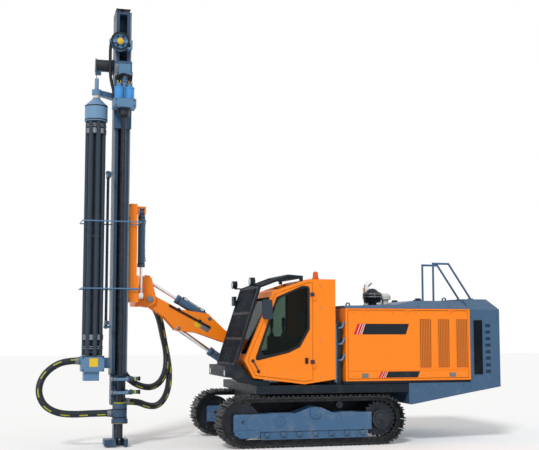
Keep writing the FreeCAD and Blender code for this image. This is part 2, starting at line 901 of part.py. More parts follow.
def leaves(side, rise):
    """Half of each door hinge: a leaf on the panel and a knuckle."""
    parts = []
    for low, high in LEAVES:
        base = f"{low} + {rise} * 61"
        top = f"{base} + 59"
        edge = (f"{hinge_x} - 50", "door_rear_x - door_gap") if side < 0 else (hinge_x, f"{hinge_x} + 50")
        parts.append(box(edge, (f"{hinge_y} + 2", "cab_left_y + 1"), (base, top)))
        if side < 0:
            parts.append(box((f"{hinge_x} - 25", hinge_x), (f"{hinge_y} + 2", "cab_left_y - 1"),
                             (base, top)))
        parts.append(drum("z", (hinge_x, hinge_y), base, top, "14"))
    return parts


body = cut(
    slab(CAB, None, "cab_left_y", "cab_right_y"),
    slab(CAB, "cab_wall", "cab_left_y + cab_wall", "cab_right_y - cab_wall"),
    slab(DOOR, None, "cab_left_y - 10", "cab_left_y + cab_wall + 10"),
    slab(WINDOW, None, "cab_right_y - cab_wall - 10", "cab_right_y + 10"),
    slab(SCREEN, None, *across),
    slab(SKYLIGHT, None, *across),
    box(*rear_window),
)
node("cab_shell", fuse(body, *leaves(1, 0)))

liner = cut(
    slab(CAB, "cab_wall + seat_gap", *wide_across),
    slab(CAB, "cab_wall + seat_gap + glass", "cab_left_y", "cab_right_y"),
)
panes = [
    common(liner, slab(SCREEN, "-12", *wide_across)),
    common(liner, slab(SKYLIGHT, "-12", *wide_across)),
    common(liner, box((rear_window[0][0], rear_window[0][1]), ("cab_left_y + 188", "cab_right_y - 188"),
                      ("cab_roof_z - 862", "cab_roof_z - 188"))),
    slab(WINDOW, "-6", "cab_right_y - cab_wall - seat_gap - glass", "cab_right_y - cab_wall - seat_gap"),
]
node("cab_glass", group(*panes))

FLOOR = ("cab_toe_x + 90", "cab_rear_x - cab_wall - seat_gap")
seat_left, seat_right = "(cab_left_y + cab_right_y - seat_width) / 2", "(cab_left_y + cab_right_y + seat_width) / 2"
SEAT = [
    ("seat_x - 260", "floor_z + 260"),
    ("seat_x - 270", "floor_z + 420"),
    ("seat_x + 140", "floor_z + 390"),
    ("seat_x + 250", "floor_z + 1130"),
    ("seat_x + 350", "floor_z + 1110"),
    ("seat_x + 260", "floor_z + 260"),
]
node("cab_seat", fuse(
    plate("XZ", SEAT, seat_left, seat_right, rounds=((1, "50"), (3, "40"))),
    box(("seat_x - 180", "seat_x + 180"), (f"{seat_left} + 60", f"{seat_right} - 60"),
        ("floor_z + seat_gap", "floor_z + 270")),
))
console = [box(FLOOR, ("cab_left_y + cab_wall + seat_gap", "cab_right_y - cab_wall - seat_gap"),
               ("floor_z - 20", "floor_z"))]
for edge in (f"{seat_left} - 150", f"{seat_right} + 30"):
    console.append(fuse(
        box(("seat_x - 330", "seat_x + 150"), (edge, f"{edge} + 120"),
            ("floor_z + seat_gap", "floor_z + 560")),
        drum("z", ("seat_x - 270", f"{edge} + 60"), "floor_z + 550", "floor_z + 720", "18"),
        drum("z", ("seat_x - 270", f"{edge} + 60"), "floor_z + 700", "floor_z + 790", "30"),
    ))
node("cab_floor", group(*console))

mid_guard = [(f"guard_foot_x + {s} * (guard_brow_x - guard_foot_x)",
              f"guard_foot_z + {s} * (guard_brow_z - guard_foot_z)")
             for s in (0, 0.33, 0.66, 1)]
# where the guard's rear feet stand on the sloped front of the roof
GUARD_SEAT_Z = "(cab_roof_z - (cab_kink_x - guard_end_x - 25) * (cab_roof_z - cab_brow_z) / (cab_kink_x - cab_brow_x))"
guard = []
for y in ("guard_left_y", "guard_right_y"):
    corners = [mid_guard[0], mid_guard[3], ("guard_crown_x", "guard_crown_z"),
               ("guard_end_x", "guard_end_z")]
    for (x, z), (u, w) in zip(corners, corners[1:]):
        guard.append(bar((x, y, z), (u, y, w), "guard_tube"))
    guard.append(box(("guard_foot_x - 20", "guard_foot_x + 20"), (f"{y} - 20", f"{y} + 20"),
                     ("bumper_top_z + seat_gap", "guard_foot_z + 20")))
    guard.append(box(("guard_end_x - 25", "guard_end_x + 25"), (f"{y} - 20", f"{y} + 20"),
                     (f"{GUARD_SEAT_Z} + seat_gap", "guard_end_z + 20")))
for x, z in mid_guard + [("guard_crown_x", "guard_crown_z"), ("guard_end_x", "guard_end_z")]:
    guard.append(bar((x, "guard_left_y", z), (x, "guard_right_y", z), "guard_tube"))
bars = round(value("guard_bars"))
for number in range(1, bars + 1):
    y = f"guard_left_y + {number} * (guard_right_y - guard_left_y) / {bars + 1}"
    guard.append(bar((mid_guard[0][0], y, mid_guard[0][1]), (mid_guard[3][0], y, mid_guard[3][1]),
                     "guard_bar"))
    guard.append(bar((mid_guard[3][0], y, mid_guard[3][1]), ("guard_crown_x", y, "guard_crown_z"),
                     "guard_bar"))
guard.append(box(("far_mirror_x - mirror_depth / 2", "far_mirror_x + mirror_depth / 2"),
                 ("guard_right_y - far_mirror_size / 2", "guard_right_y + far_mirror_size / 2"),
                 ("far_mirror_z - far_mirror_size / 2", "far_mirror_z + far_mirror_size / 2")))
guard.append(tube(("far_mirror_x", "guard_right_y", "far_mirror_z"),
                  ("guard_brow_x - 65", "guard_right_y", "far_mirror_z - 5"), "mirror_arm"))
node("cab_guard", fuse(*guard))

lamps = []
for y, x, z in (("guard_left_y", "guard_brow_x - 80", "guard_brow_z + 75"),
                ("guard_right_y", "guard_brow_x - 80", "guard_brow_z + 75")):
    lamps.append(fuse(
        drum("x", (y, z), f"{x} - lamp_depth", x, "lamp_radius"),
        box((f"{x} - lamp_depth / 2", "guard_brow_x - guard_tube / 2 - seat_gap"),
            (f"{y} - 10", f"{y} + 10"),
            ("guard_brow_z + 2", "guard_brow_z + 24")),
    ))
node("work_lamps", group(*lamps))
node("roof_beacon", turned(
    [("0", "cab_roof_z + seat_gap"), ("beacon_radius", "cab_roof_z + seat_gap"),
     ("beacon_radius", "cab_roof_z + 25"),
     ("beacon_radius * 0.8", "cab_roof_z + 32"), ("beacon_radius * 0.7", "cab_roof_z + beacon_height - 15"),
     ("beacon_radius * 0.4", "cab_roof_z + beacon_height"), ("0", "cab_roof_z + beacon_height")],
    ("beacon_x", "beacon_y")))


# Engine housing: a hollow box with a door opening on each side, a sloped hood and an engine inside

shell = cut(
    box(("housing_front_x", "housing_rear_x"), ("-housing_half", "housing_half"),
        ("housing_low_z", "housing_top_z")),
    box(("housing_front_x + housing_wall", "housing_rear_x - housing_wall"),
        ("-housing_half + housing_wall", "housing_half - housing_wall"),
        ("housing_low_z + housing_wall", "housing_top_z - housing_wall")),
    box(("side_door_front_x", "side_door_rear_x"), ("-housing_half - 10", "housing_half + 10"),
        ("side_door_low_z", "side_door_top_z")),
)
SIDE_HINGES = ("side_door_front_x + 300", "(side_door_front_x + side_door_rear_x) / 2",
               "side_door_rear_x - 300")


def side_hinges(sign, part):
    """The knuckles along a side door's upper edge: part 0 is on the door, part 1 on the housing."""
    made = []
    for middle in SIDE_HINGES:
        start = f"{middle} + ({part} - 1) * side_hinge_length + {part} * seat_gap"
        run = (start, f"{start} + side_hinge_length")
        outside = (f"{sign} * (housing_half - 1)", f"{sign} * (housing_half + knuckle)")
        leaf = ("side_door_top_z - 50", "side_door_top_z") if part == 0 else ("side_door_top_z",
                                                                              "housing_top_z - 2")
        face = (f"{sign} * (housing_half - 1)", f"{sign} * (housing_half + knuckle / 2)")
        made.append(box(run, face if sign > 0 else face[::-1], leaf))
        made.append(drum("x", (outside[1], "side_door_top_z"), *run, "knuckle"))
    return made


node("engine_housing", fuse(shell, *side_hinges(-1, 1), *side_hinges(1, 1)))

HOOD = [
    ("-housing_half", "housing_top_z + seat_gap"),
    ("-hood_half", "hood_top_z"),
    ("hood_half", "hood_top_z"),
    ("housing_half", "housing_top_z + seat_gap"),
]
SLOPE = [
    ("housing_front_x - 50", "hood_front_z"),
    ("hood_ramp_x", "hood_ramp_z"),
    ("hood_crest_x", "hood_top_z"),
    ("hood_crest_x", "hood_top_z + 60"),
    ("housing_front_x - 50", "hood_top_z + 60"),
]
node("engine_hood", cut(plate("YZ", HOOD, "housing_front_x", "housing_rear_x"),
                        plate("XZ", SLOPE, "-housing_half - 10", "housing_half + 10")))
bed_z = "housing_low_z + housing_wall + seat_gap"
crank_z = f"({bed_z} + 300)"
node("engine_block", fuse(
    box(("engine_front_x + 120", "engine_rear_x - 160"), ("-engine_half + 90", "engine_half - 90"),
        (bed_z, "engine_top_z - 170")),
    box(("engine_front_x + 170", "engine_rear_x - 210"), ("-engine_half + 150", "engine_half - 150"),
        ("engine_top_z - 180", "engine_top_z")),
    drum("x", ("0", crank_z), "engine_rear_x - 170", "engine_rear_x", "engine_half * 0.72"),
    drum("x", ("0", crank_z), "engine_front_x + 40", "engine_front_x + 130", "60"),
    drum("x", ("0", f"{crank_z} + 150"), "engine_front_x", "engine_front_x + 40", "engine_half * 0.75"),
    drum("x", ("0", f"{crank_z} + 150"), "engine_front_x + 35", "engine_front_x + 130", "50"),
    drum("x", ("engine_half - 60", "engine_top_z - 260"), "engine_front_x + 260", "engine_rear_x - 420",
         "60"),
    drum("z", ("engine_front_x + 420", "-engine_half + 50"), f"{bed_z} + 150", f"{bed_z} + 380", "55"),
))

for side, sign in SIDES.items():
    outer, inner = f"{sign} * housing_half", f"{sign} * (housing_half - side_door_thick)"
    ends = (inner, outer) if sign > 0 else (outer, inner)
    panel = box(("side_door_front_x + door_gap", "side_door_rear_x - door_gap"), ends,
                ("side_door_low_z + door_gap", "side_door_top_z - door_gap"))
    slots = []
    rows = round(value("grille_slots"))
    for column in range(3):
        left = f"grille_first_x + {column} * grille_pitch"
        for row in range(rows):
            low = f"grille_low_z + {row} * (grille_top_z - grille_low_z - grille_slot) / {rows - 1}"
            slots.append(box((left, f"{left} + grille_width"), (f"{ends[0]} - 5", f"{ends[1]} + 5"),
                             (low, f"{low} + grille_slot")))
    node(f"engine_door_{side}", fuse(cut(panel, *slots), *side_hinges(sign, 0)))

REAR = [
    ("-housing_half", "rear_low_z - 100"),
    ("-housing_half", "rear_side_z"),
    ("-hood_half", "rear_top_z"),
    ("hood_half", "rear_top_z"),
    ("housing_half", "rear_side_z"),
    ("housing_half", "rear_low_z - 100"),
]
UNDERCUT = [
    ("housing_rear_x - 50", "rear_front_low_z - 8"),
    ("rear_end_x + 50", "rear_low_z + 10"),
    ("rear_end_x + 50", "rear_low_z - 300"),
    ("housing_rear_x - 50", "rear_low_z - 300"),
]
TAIL = [
    ("rear_end_x - 110", "rear_top_z + 10"),
    ("rear_end_x + 10", "rear_side_z"),
    ("rear_end_x + 10", "rear_top_z + 10"),
]
REAR_ROOM = [
    ("rear_wall - housing_half", "rear_low_z + rear_wall"),
    ("rear_wall - housing_half", "rear_side_z - rear_wall"),
    ("rear_wall - hood_half", "rear_top_z - rear_wall"),
    ("hood_half - rear_wall", "rear_top_z - rear_wall"),
    ("housing_half - rear_wall", "rear_side_z - rear_wall"),
    ("housing_half - rear_wall", "rear_low_z + rear_wall"),
]
vents = []
for sign in SIDES.values():
    ends = sorted((f"{sign} * (housing_half - vent_depth)", f"{sign} * (housing_half + 10)"), key=value)
    vents.append(box(("housing_rear_x + 57", "housing_rear_x + 221"), tuple(ends),
                     ("rear_low_z + 196", "rear_side_z - 167")))
    for row in range(8):
        low = f"rear_low_z + 220 + {row} * 105"
        vents.append(box(("housing_rear_x + 271", "housing_rear_x + 360"), tuple(ends),
                         (low, f"{low} + 50")))
node("rear_module", cut(
    plate("YZ", REAR, "housing_rear_x + seat_gap", "rear_end_x"),
    plate("XZ", UNDERCUT, "-housing_half - 10", "housing_half + 10"),
    plate("XZ", TAIL, "-housing_half - 10", "housing_half + 10"),
    plate("YZ", REAR_ROOM, "housing_rear_x - 10", "rear_end_x - rear_back_wall"),
    *vents,
))
TANK = [
    ("tank_front_x", "tank_low_z"),
    ("tank_front_x", "platform_top_z - platform_plate - 2 * seat_gap"),
    ("housing_rear_x", "platform_top_z - platform_plate - 2 * seat_gap"),
    ("housing_rear_x", "rear_front_low_z"),
]
node("lower_tank", plate("XZ", TANK, "2 - housing_half", "housing_half - 2", rounds=((0, "40"),)))

def stand_z(x):
    """The height of the hood's front ramp at x, plus the free fit under a seated piece."""
    share = f"({x} - housing_front_x + 50) / (hood_ramp_x - housing_front_x + 50)"
    return f"hood_front_z + (hood_ramp_z - hood_front_z) * {share} + seat_gap"


CLEANER_Z = stand_z("cleaner_x + cleaner_stem")
STACK_Z = stand_z("stack_x + stack_radius + 25")
CAP_Z = ("hood_ramp_z + (hood_top_z - hood_ramp_z) * (silencer_x + silencer_radius * 0.6 - hood_ramp_x)"
         " / (hood_crest_x - hood_ramp_x) + seat_gap")
node("air_cleaner", turned(
    [("0", CLEANER_Z), ("cleaner_stem", CLEANER_Z), ("cleaner_stem", "cleaner_top_z - 130"),
     ("cleaner_radius * 0.9", "cleaner_top_z - 110"), ("cleaner_radius", "cleaner_top_z - 90"),
     ("cleaner_radius", "cleaner_top_z - 25"), ("cleaner_radius * 0.75", "cleaner_top_z"),
     ("0", "cleaner_top_z")],
    ("cleaner_x", "cleaner_y")))
node("exhaust_stack", fuse(
    drum("z", ("stack_x", "stack_y"), STACK_Z, "stack_top_z - 60", "stack_radius"),
    tube(("stack_x", "stack_y", "stack_top_z - 75"), ("stack_x + 75", "stack_y", "stack_top_z - 10"),
         "stack_radius * 0.98"),
    drum("z", ("stack_x", "stack_y"), STACK_Z, f"{STACK_Z} + 20", "stack_radius + 25"),
))
node("intake_cap", turned(
    [("0", CAP_Z), ("silencer_radius * 0.6", CAP_Z), ("silencer_radius * 0.6", "silencer_top_z - 90"),
     ("silencer_radius", "silencer_top_z - 80"), ("silencer_radius", "silencer_top_z - 20"),
     ("silencer_radius * 0.8", "silencer_top_z"), ("0", "silencer_top_z")],
    ("silencer_x", "silencer_y")))
rails = []
for y in ("rail_left_y", "rail_right_y"):
    rails.append(fuse(
        tube(("rail_front_x", y, "hood_top_z + seat_gap"), ("rail_front_x", y, "rail_top_z"), "rail_tube"),
        tube(("rail_front_x", y, "rail_top_z - rail_tube"), ("rail_bend_x", y, "rail_top_z - rail_tube"),
             "rail_tube"),
        tube(("rail_bend_x - 5", y, "rail_top_z - rail_tube"),
             ("rail_rear_x", y, "rear_top_z + rail_tube + 6"), "rail_tube"),
        box(("rail_rear_x - 40", "rail_rear_x + 40"), (f"{y} - 25", f"{y} + 25"),
            ("rear_top_z + seat_gap", "rear_top_z + 24")),
    ))
node("hand_rails", group(*rails))

cooler_z = ("deck_top_z + seat_gap", "cooler_top_z")
recess = [box((low, f"{low} + 25"), ("cooler_left_y + 60", "cooler_right_y - 60"),
              ("deck_top_z + 90", "cooler_top_z - 90"))
          for low in ("cooler_front_x - 10", "cooler_rear_x - 15")]
node("cooler", cut(box(("cooler_front_x", "cooler_rear_x"), ("cooler_left_y", "cooler_right_y"), cooler_z),
                   *recess))
OIL = [
    ("oil_tank_front_x", "oil_tank_left_y"),
    ("housing_front_x - 45", "oil_tank_left_y"),
    ("housing_front_x - 45", "deck_half"),
    ("oil_tank_front_x", "deck_half"),
]
node("oil_tank", plate("XY", OIL, "deck_top_z + seat_gap", "oil_tank_top_z", rounds=((0, "60"), (3, "60"))))


# Cab door and its pane

door = cut(
    slab(DOOR, "door_gap", "cab_left_y", "cab_left_y + cab_wall"),
    slab(WINDOW, None, "cab_left_y - 10", "cab_left_y + cab_wall + 10"),
)
HANDLE = [("cab_nose_x + 132", "cab_nose_z - 8"), ("cab_nose_x + 218", "cab_nose_z - 166")]
handle = bar((HANDLE[0][0], "cab_left_y - 30", HANDLE[0][1]),
             (HANDLE[1][0], "cab_left_y - 30", HANDLE[1][1]), "16")
grips = [box((f"{x} - 8", f"{x} + 8"), ("cab_left_y - 30", "cab_left_y + 1"),
             (f"{z} - 8", f"{z} + 8")) for x, z in HANDLE]
MIRROR = [
    ("mirror_x - mirror_width / 2", "mirror_z - mirror_height / 2"),
    ("mirror_x - mirror_width / 2 - 12", "mirror_z + mirror_height / 2"),
    ("mirror_x + mirror_width / 2 - 12", "mirror_z + mirror_height / 2"),
    ("mirror_x + mirror_width / 2", "mirror_z - mirror_height / 2"),
]
mirror_rounds = [(number, "30") for number in range(len(MIRROR))]
mirror = plate("XZ", MIRROR, "mirror_y - mirror_depth / 2", "mirror_y + mirror_depth / 2",
               rounds=mirror_rounds)
arms = [
    tube(("mirror_x + 15", "cab_left_y + 1", "mirror_z - mirror_height / 2"),
         ("mirror_x + 15", "mirror_y + 10", "mirror_z - mirror_height / 2 + 40"), "mirror_arm"),
    tube(("mirror_x + 100", "cab_left_y + 1", "mirror_z + 60"),
         ("mirror_x", "mirror_y + 10", "mirror_z + 100"), "mirror_arm"),
]
node("cab_door", fuse(door, handle, *grips, *leaves(-1, 1), mirror, *arms))
node("cab_door_glass", slab(WINDOW, "seat_gap", "cab_left_y + 18", "cab_left_y + 18 + glass"))


# Boom base: a post on its slew pin with two cheeks for the boom's root and the lift cylinder

CHEEK = [
    ("slew_x", "base_low_z"),
    ("lift_base_x - 20", "base_low_z + 20"),
    ("lift_base_x - 75", "lift_base_z - 20"),
    ("lift_base_x - 60", "lift_base_z + 60"),
    ("root_x - 70", "root_z - 130"),
    ("root_x - 110", "root_z"),
    ("root_x - 50", "root_z + 100"),
    ("root_x + 60", "root_z + 110"),
    ("slew_x", "base_top_z"),
]
boom_base = [drum("z", ("slew_x", "boom_y"), "base_low_z", "base_top_z", "slew_post")]
boom_base.append(drum("z", ("slew_x", "boom_y"), "deck_low_z + 10", "base_low_z + 20", "slew_pin"))
for face in (-1, 1):
    near = f"boom_y + {face} * (root_width / 2 + run_gap)"
    far = f"boom_y + {face} * (root_width / 2 + run_gap + cheek)"
    ends = (near, far) if face > 0 else (far, near)
    boom_base.append(plate("XZ", CHEEK, *ends))
boom_base.append(box(("slew_x - slew_post + 30", "slew_x + 40"),
                     ("boom_y - root_width / 2 - run_gap - 10", "boom_y + root_width / 2 + run_gap + 10"),
                     ("base_low_z", "base_top_z - 10")))
lever = []
for low in ("slew_cylinder_z - eye_width / 2 - 35", "slew_cylinder_z + eye_width / 2 + 5"):
    lever.append(box(("slew_x - 45", "slew_x + 45"), ("boom_y + root_width / 2 - 10", f"{SLEW_Y} + 45"),
                     (low, f"{low} + 30")))
boom_base += lever
bores = [
    drum("y", ("root_x", "root_z"), "boom_y - 300", "boom_y + 300", "pin_radius + 10.05"),
    drum("y", ("lift_base_x", "lift_base_z"), "boom_y - 300", "boom_y + 300", "pin_radius + 0.05"),
    drum("z", ("slew_x", SLEW_Y), "slew_cylinder_z - 120", "slew_cylinder_z + 120", "pin_radius"),
]
node("boom_base", cut(fuse(*boom_base), *bores))


# Boom: two side plates with a box between them, a root boss and an end boss

SIDE = [
    ("root_x - 60", "root_z + 78"),
    ("root_x - 250", "root_z + 173"),
    ("tilt_base_x - 25", "tilt_base_z + 85"),
    ("tilt_x + 505", "tilt_z - 160"),
    ("tilt_x + 90", "tilt_z + 53"),
    ("tilt_x - 20", "tilt_z + 84"),
    ("tilt_x - 84", "tilt_z - 20"),
    ("tilt_x - 20", "tilt_z - 110"),
    ("tilt_x + 239", "tilt_z - 282"),
    ("lift_eye_x - 40", "lift_eye_z - 35"),
    ("lift_eye_x + 323", "lift_eye_z - 76"),
    ("root_x - 286", "root_z - 24"),
    ("root_x - 30", "root_z - 92"),
]
CORE = [
    ("root_x - 90", "root_z + 20"),
    ("root_x - 250", "root_z + 130"),
    ("tilt_base_x + 60", "tilt_base_z - 115"),
    ("tilt_x + 180", "tilt_z - 25"),
    ("tilt_x + 90", "tilt_z - 40"),
    ("tilt_x + 60", "tilt_z - 140"),
    ("tilt_x + 250", "tilt_z - 262"),
    ("lift_eye_x - 90", "lift_eye_z + 130"),
    ("lift_eye_x + 120", "lift_eye_z + 90"),
    ("lift_eye_x + 330", "lift_eye_z - 50"),
    ("root_x - 286", "root_z"),
    ("root_x - 90", "root_z - 50"),
]
boom = []
for face in (-1, 1):
    near = f"boom_y + {face} * (root_width / 2 - boom_plate)"
    far = f"boom_y + {face} * root_width / 2"
    ends = (near, far) if face > 0 else (far, near)
    boom.append(plate("XZ", SIDE, *ends))
boom.append(plate("XZ", CORE, "boom_y - root_width / 2 + 5", "boom_y + root_width / 2 - 5"))
boom.append(drum("y", ("root_x", "root_z"), "boom_y - root_width / 2", "boom_y + root_width / 2",
                 "root_radius"))
boom.append(drum("y", ("root_x", "root_z"), "boom_y - root_width / 2 - run_gap - cheek - 12",
                 "boom_y + root_width / 2 + run_gap + cheek + 12", "pin_radius + 10"))
boom.append(drum("y", ("tilt_x", "tilt_z"), "boom_y - root_width / 2", "boom_y + root_width / 2",
                 "head_radius"))
boom.append(drum("y", ("tilt_x", "tilt_z"), "boom_y - root_width / 2 - run_gap - cheek - 10",
                 "boom_y + root_width / 2 + run_gap + cheek + 10", "pin_radius + 10"))
boom_bore = drum("y", ("tilt_base_x", "tilt_base_z"), "boom_y - 300", "boom_y + 300", "pin_radius + 0.05")
node("boom_beam", cut(fuse(*boom), boom_bore))


# Cylinders: a barrel with its own eye and pin, and a rod with an eye at the far end


def cylinder(label, base, eye, barrel, rod, reach, cross, inside, pin_half):
    """A hydraulic cylinder between two points. base and eye are (x, y, z) expressions, reach is the
    barrel's length from the base pin, cross the pins' axis, inside how deep the rod goes in and
    pin_half half the length of the base pin."""
    start, end = vector(base), vector(eye)
    line = (end - start).normalize()
    side = {"x": FreeCAD.Vector(1, 0, 0), "y": FreeCAD.Vector(0, 1, 0), "z": FreeCAD.Vector(0, 0, 1)}[cross]
    fat, thin, long = value(barrel), value(rod), value(reach)
    ring, wide, pin = value("eye_radius"), value("eye_width"), value("pin_radius")
    free = value("seat_gap")

    def round_bar(centre, way, radius, length):
        return Part.makeCylinder(radius, length, centre, way)

    lug = round_bar(start - side * wide / 2, side, ring, wide)
    body = round_bar(start + line * (ring + 2), line, fat, long - ring - 2)
    neck = round_bar(start, line, wide / 2 - 3, ring + 10)
    collar = round_bar(start + line * (long - 45), line, fat + 6, 45)
    far = value(pin_half)
    axle = round_bar(start - side * far, side, pin, 2 * far)
    bore = round_bar(start + line * (ring + 20), line, thin + free, long)
    shell = body.multiFuse([lug, neck, collar]).cut(bore).fuse(axle).removeSplitter()
    node(f"{label}_barrel", solid(shell, "Barrel"))

    length = (end - start).Length
    deep = long - value(inside)
    stem = round_bar(start + line * deep, line, thin, length - deep - ring * 0.7)
    loop = round_bar(end - side * wide / 2, side, ring, wide)
    hole = round_bar(end - side * wide, side, pin, wide * 2)
    node(f"{label}_rod", solid(stem.fuse(loop).cut(hole).removeSplitter(), "Rod"))


cylinder("lift", ("lift_base_x", "boom_y", "lift_base_z"), ("lift_eye_x", "boom_y", "lift_eye_z"),
         "lift_barrel", "lift_rod", "lift_reach", "y", "lift_inside", "root_width / 2 + run_gap + cheek + 8")
cylinder("tilt", ("tilt_base_x", "boom_y", "tilt_base_z"), ("tilt_eye_x", "boom_y", "tilt_eye_z"),
         "tilt_barrel", "tilt_rod", "tilt_reach", "y", "tilt_inside", "root_width / 2 + 8")
cylinder("slew", ("slew_base_x", SLEW_Y, "slew_cylinder_z"), ("slew_x", SLEW_Y, "slew_cylinder_z"),
         "slew_barrel", "slew_rod", "slew_reach", "z", "slew_inside", "eye_width / 2 + 34")
cylinder("sway", ("sway_x", "sway_y", "sway_top_z"), ("sway_x", "sway_y", "sway_low_z"),
         "sway_barrel", "sway_rod", "sway_reach", "x", "sway_inside", "eye_width / 2 + 25")


# Boom head: two cheeks outside the boom's end, a yoke plate with the swing pin and an arm for the sway cylinder

HEAD = [
    ("tilt_x + 95", "tilt_z - 60"),
    ("tilt_x + 95", "tilt_z + 50"),
    ("tilt_eye_x + 55", "tilt_eye_z + 15"),
    ("tilt_eye_x + 20", "tilt_eye_z + 62"),
    ("tilt_eye_x - 60", "tilt_eye_z + 72"),
    ("tilt_eye_x - 80", "tilt_eye_z - 40"),
    ("yoke_front_x + 20", "swing_z + 130"),
    ("yoke_front_x + 20", "swing_z - 110"),
    ("tilt_x - 10", "tilt_z - 130"),
]
head = []
for face in (-1, 1):
    near = f"boom_y + {face} * (root_width / 2 + run_gap)"
    far = f"boom_y + {face} * (root_width / 2 + run_gap + cheek)"
    ends = (near, far) if face > 0 else (far, near)
    head.append(plate("XZ", HEAD, *ends))
yoke_rear = "yoke_front_x + yoke_plate"
outer_left, outer_right = "boom_y - root_width / 2 - run_gap - cheek", "boom_y + root_width / 2 + run_gap + cheek"
head.append(box(("yoke_front_x", yoke_rear), (outer_left, outer_right), ("swing_z - 130", "swing_z + 150")))
head.append(drum("x", ("boom_y", "swing_z"), "cradle_rear_x - cradle_plate - 12", "yoke_front_x + 10",
                 "swing_pin"))
SWAY_ARM = [
    (f"{outer_left} + 10", "sway_low_z - 95"),
    (f"{outer_left} + 10", "sway_low_z - 20"),
    ("sway_y + 65", "sway_low_z + 45"),
    ("sway_y - 20", "sway_low_z + 62"),
    ("sway_y - 62", "sway_low_z"),
    ("sway_y - 30", "sway_low_z - 62"),
]
for low in ("sway_x - eye_width / 2 - 20", "sway_x + eye_width / 2 + 8"):
    head.append(plate("YZ", SWAY_ARM, low, f"{low} + 12"))
head.append(box(("sway_x - eye_width / 2 - 20", "sway_x + eye_width / 2 + 20"),
                ("sway_y + 72", f"{outer_left} + 10"),
                ("sway_low_z - 95", "sway_low_z - 20")))
root_bores = [
    drum("y", ("tilt_x", "tilt_z"), "boom_y - 400", "boom_y + 400", "pin_radius + 10.05"),
    box(("tilt_x - head_radius - 30", "tilt_x + 300"), ("boom_y - root_width / 2 - run_gap",
                                                        "boom_y + root_width / 2 + run_gap"),
        ("tilt_z - 400", "tilt_z + 250")),
]
node("boom_head", cut(fuse(*head), *root_bores))


# Cradle: a long channel beside the mast with slippers that hold it, a hub plate and a lug for the sway cylinder

MAST_LEFT, MAST_RIGHT = "mast_x - mast_width / 2", "mast_x + mast_width / 2"
SHIFT_Y = "(mast_right_y + run_gap + shift_barrel + 10)"


def gland(axis, centre, low, high):
    """The ring that a hose's end meets."""
    return drum(axis, centre, low, high, "hose_radius + gland_wall")


HUB = [
    ("cradle_left_y", "cradle_low_z"),
    ("cradle_left_y", "cradle_low_z + 420"),
    ("cradle_right_y", "cradle_low_z + 420"),
    ("boom_y + 60", "swing_z + 130"),
    ("boom_y + 130", "swing_z + 60"),
    ("boom_y + 130", "swing_z - 60"),
    ("boom_y + 40", "swing_z - 130"),
    ("cradle_right_y", "cradle_low_z"),
]
LONG = [
    ("cradle_left_y", "cradle_low_z"),
    ("cradle_left_y", "cradle_top_z"),
    ("cradle_right_y", "cradle_top_z"),
    ("cradle_right_y", "cradle_low_z"),
]
cradle = [
    plate("YZ", HUB, "cradle_rear_x - cradle_plate", "cradle_rear_x"),
    plate("YZ", LONG, f"{MAST_RIGHT} + 25", "cradle_rear_x - 35"),
]
for low in ("cradle_low_z + 60", "cradle_top_z - 60 - slipper_height"):
    high = f"{low} + slipper_height"
    cradle.append(box((f"{MAST_RIGHT} + seat_gap", f"{MAST_RIGHT} + 30"),
                      ("cradle_left_y", "cradle_right_y"), (low, high)))
    cradle.append(box((f"{MAST_RIGHT} - slipper_lip", f"{MAST_RIGHT} + 30"),
                      ("mast_right_y + seat_gap", "cradle_right_y + 10"), (low, high)))
lug_low = "sway_top_z - 44"
for low in ("sway_x - eye_width / 2 - 26", "sway_x + eye_width / 2 + 2"):
    cradle.append(box((low, f"{low} + 24"), ("sway_y - 60", "sway_y + 60"), (lug_low, "sway_top_z + 75")))
cradle.append(box(("cradle_rear_x - 60", "sway_x + eye_width / 2 + 26"),
                  ("cradle_right_y - 60", "sway_y + 60"),
                  ("sway_top_z + 58", "sway_top_z + 80")))
cradle.append(cut(
    fuse(
        drum("z", ("shift_x", SHIFT_Y), "shift_low_z", "shift_high_z", "shift_barrel"),
        drum("z", ("shift_x", SHIFT_Y), "shift_low_z", "shift_low_z + 40", "shift_barrel + 7"),
    ),
    drum("z", ("shift_x", SHIFT_Y), "shift_low_z - 5", "shift_high_z - 30", "shift_rod + 0.05"),
))
for low in ("shift_low_z", "cradle_top_z - 100 - slipper_height / 2"):
    cradle.append(box(("shift_x + shift_rod + 6", f"{MAST_RIGHT} - slipper_lip + 5"),
                      (f"{SHIFT_Y} - 26", f"{SHIFT_Y} - 6"),
                      (low, f"{low} + 50")))
hose_ends = ("bundle_front_end_y", "bundle_rear_end_y")
cradle.append(box(("cradle_rear_x - cradle_plate", "cradle_rear_x"),
                  ("boom_y + 110", "bundle_rear_end_y + hose_radius + gland_wall"),
                  ("bundle_end_z - hose_radius", "bundle_end_z + hose_radius")))
cradle += [gland("x", (y, "bundle_end_z"), "cradle_rear_x - 5",
                 "cradle_rear_x + gland_length + 5") for y in hose_ends]
hub_bore = drum("x", ("boom_y", "swing_z"), "cradle_rear_x - cradle_plate - 20", "cradle_rear_x + 10",
                "swing_pin + 0.05")
lug_bore = drum("x", ("sway_y", "sway_top_z"), "sway_x - 120", "sway_x + 120", "pin_radius + 0.05")
node("mast_cradle", cut(fuse(*cradle), hub_bore, lug_bore))


# Mast: a channel open towards the drill rod, with a crown, a sheave, a winch and what guides the rod

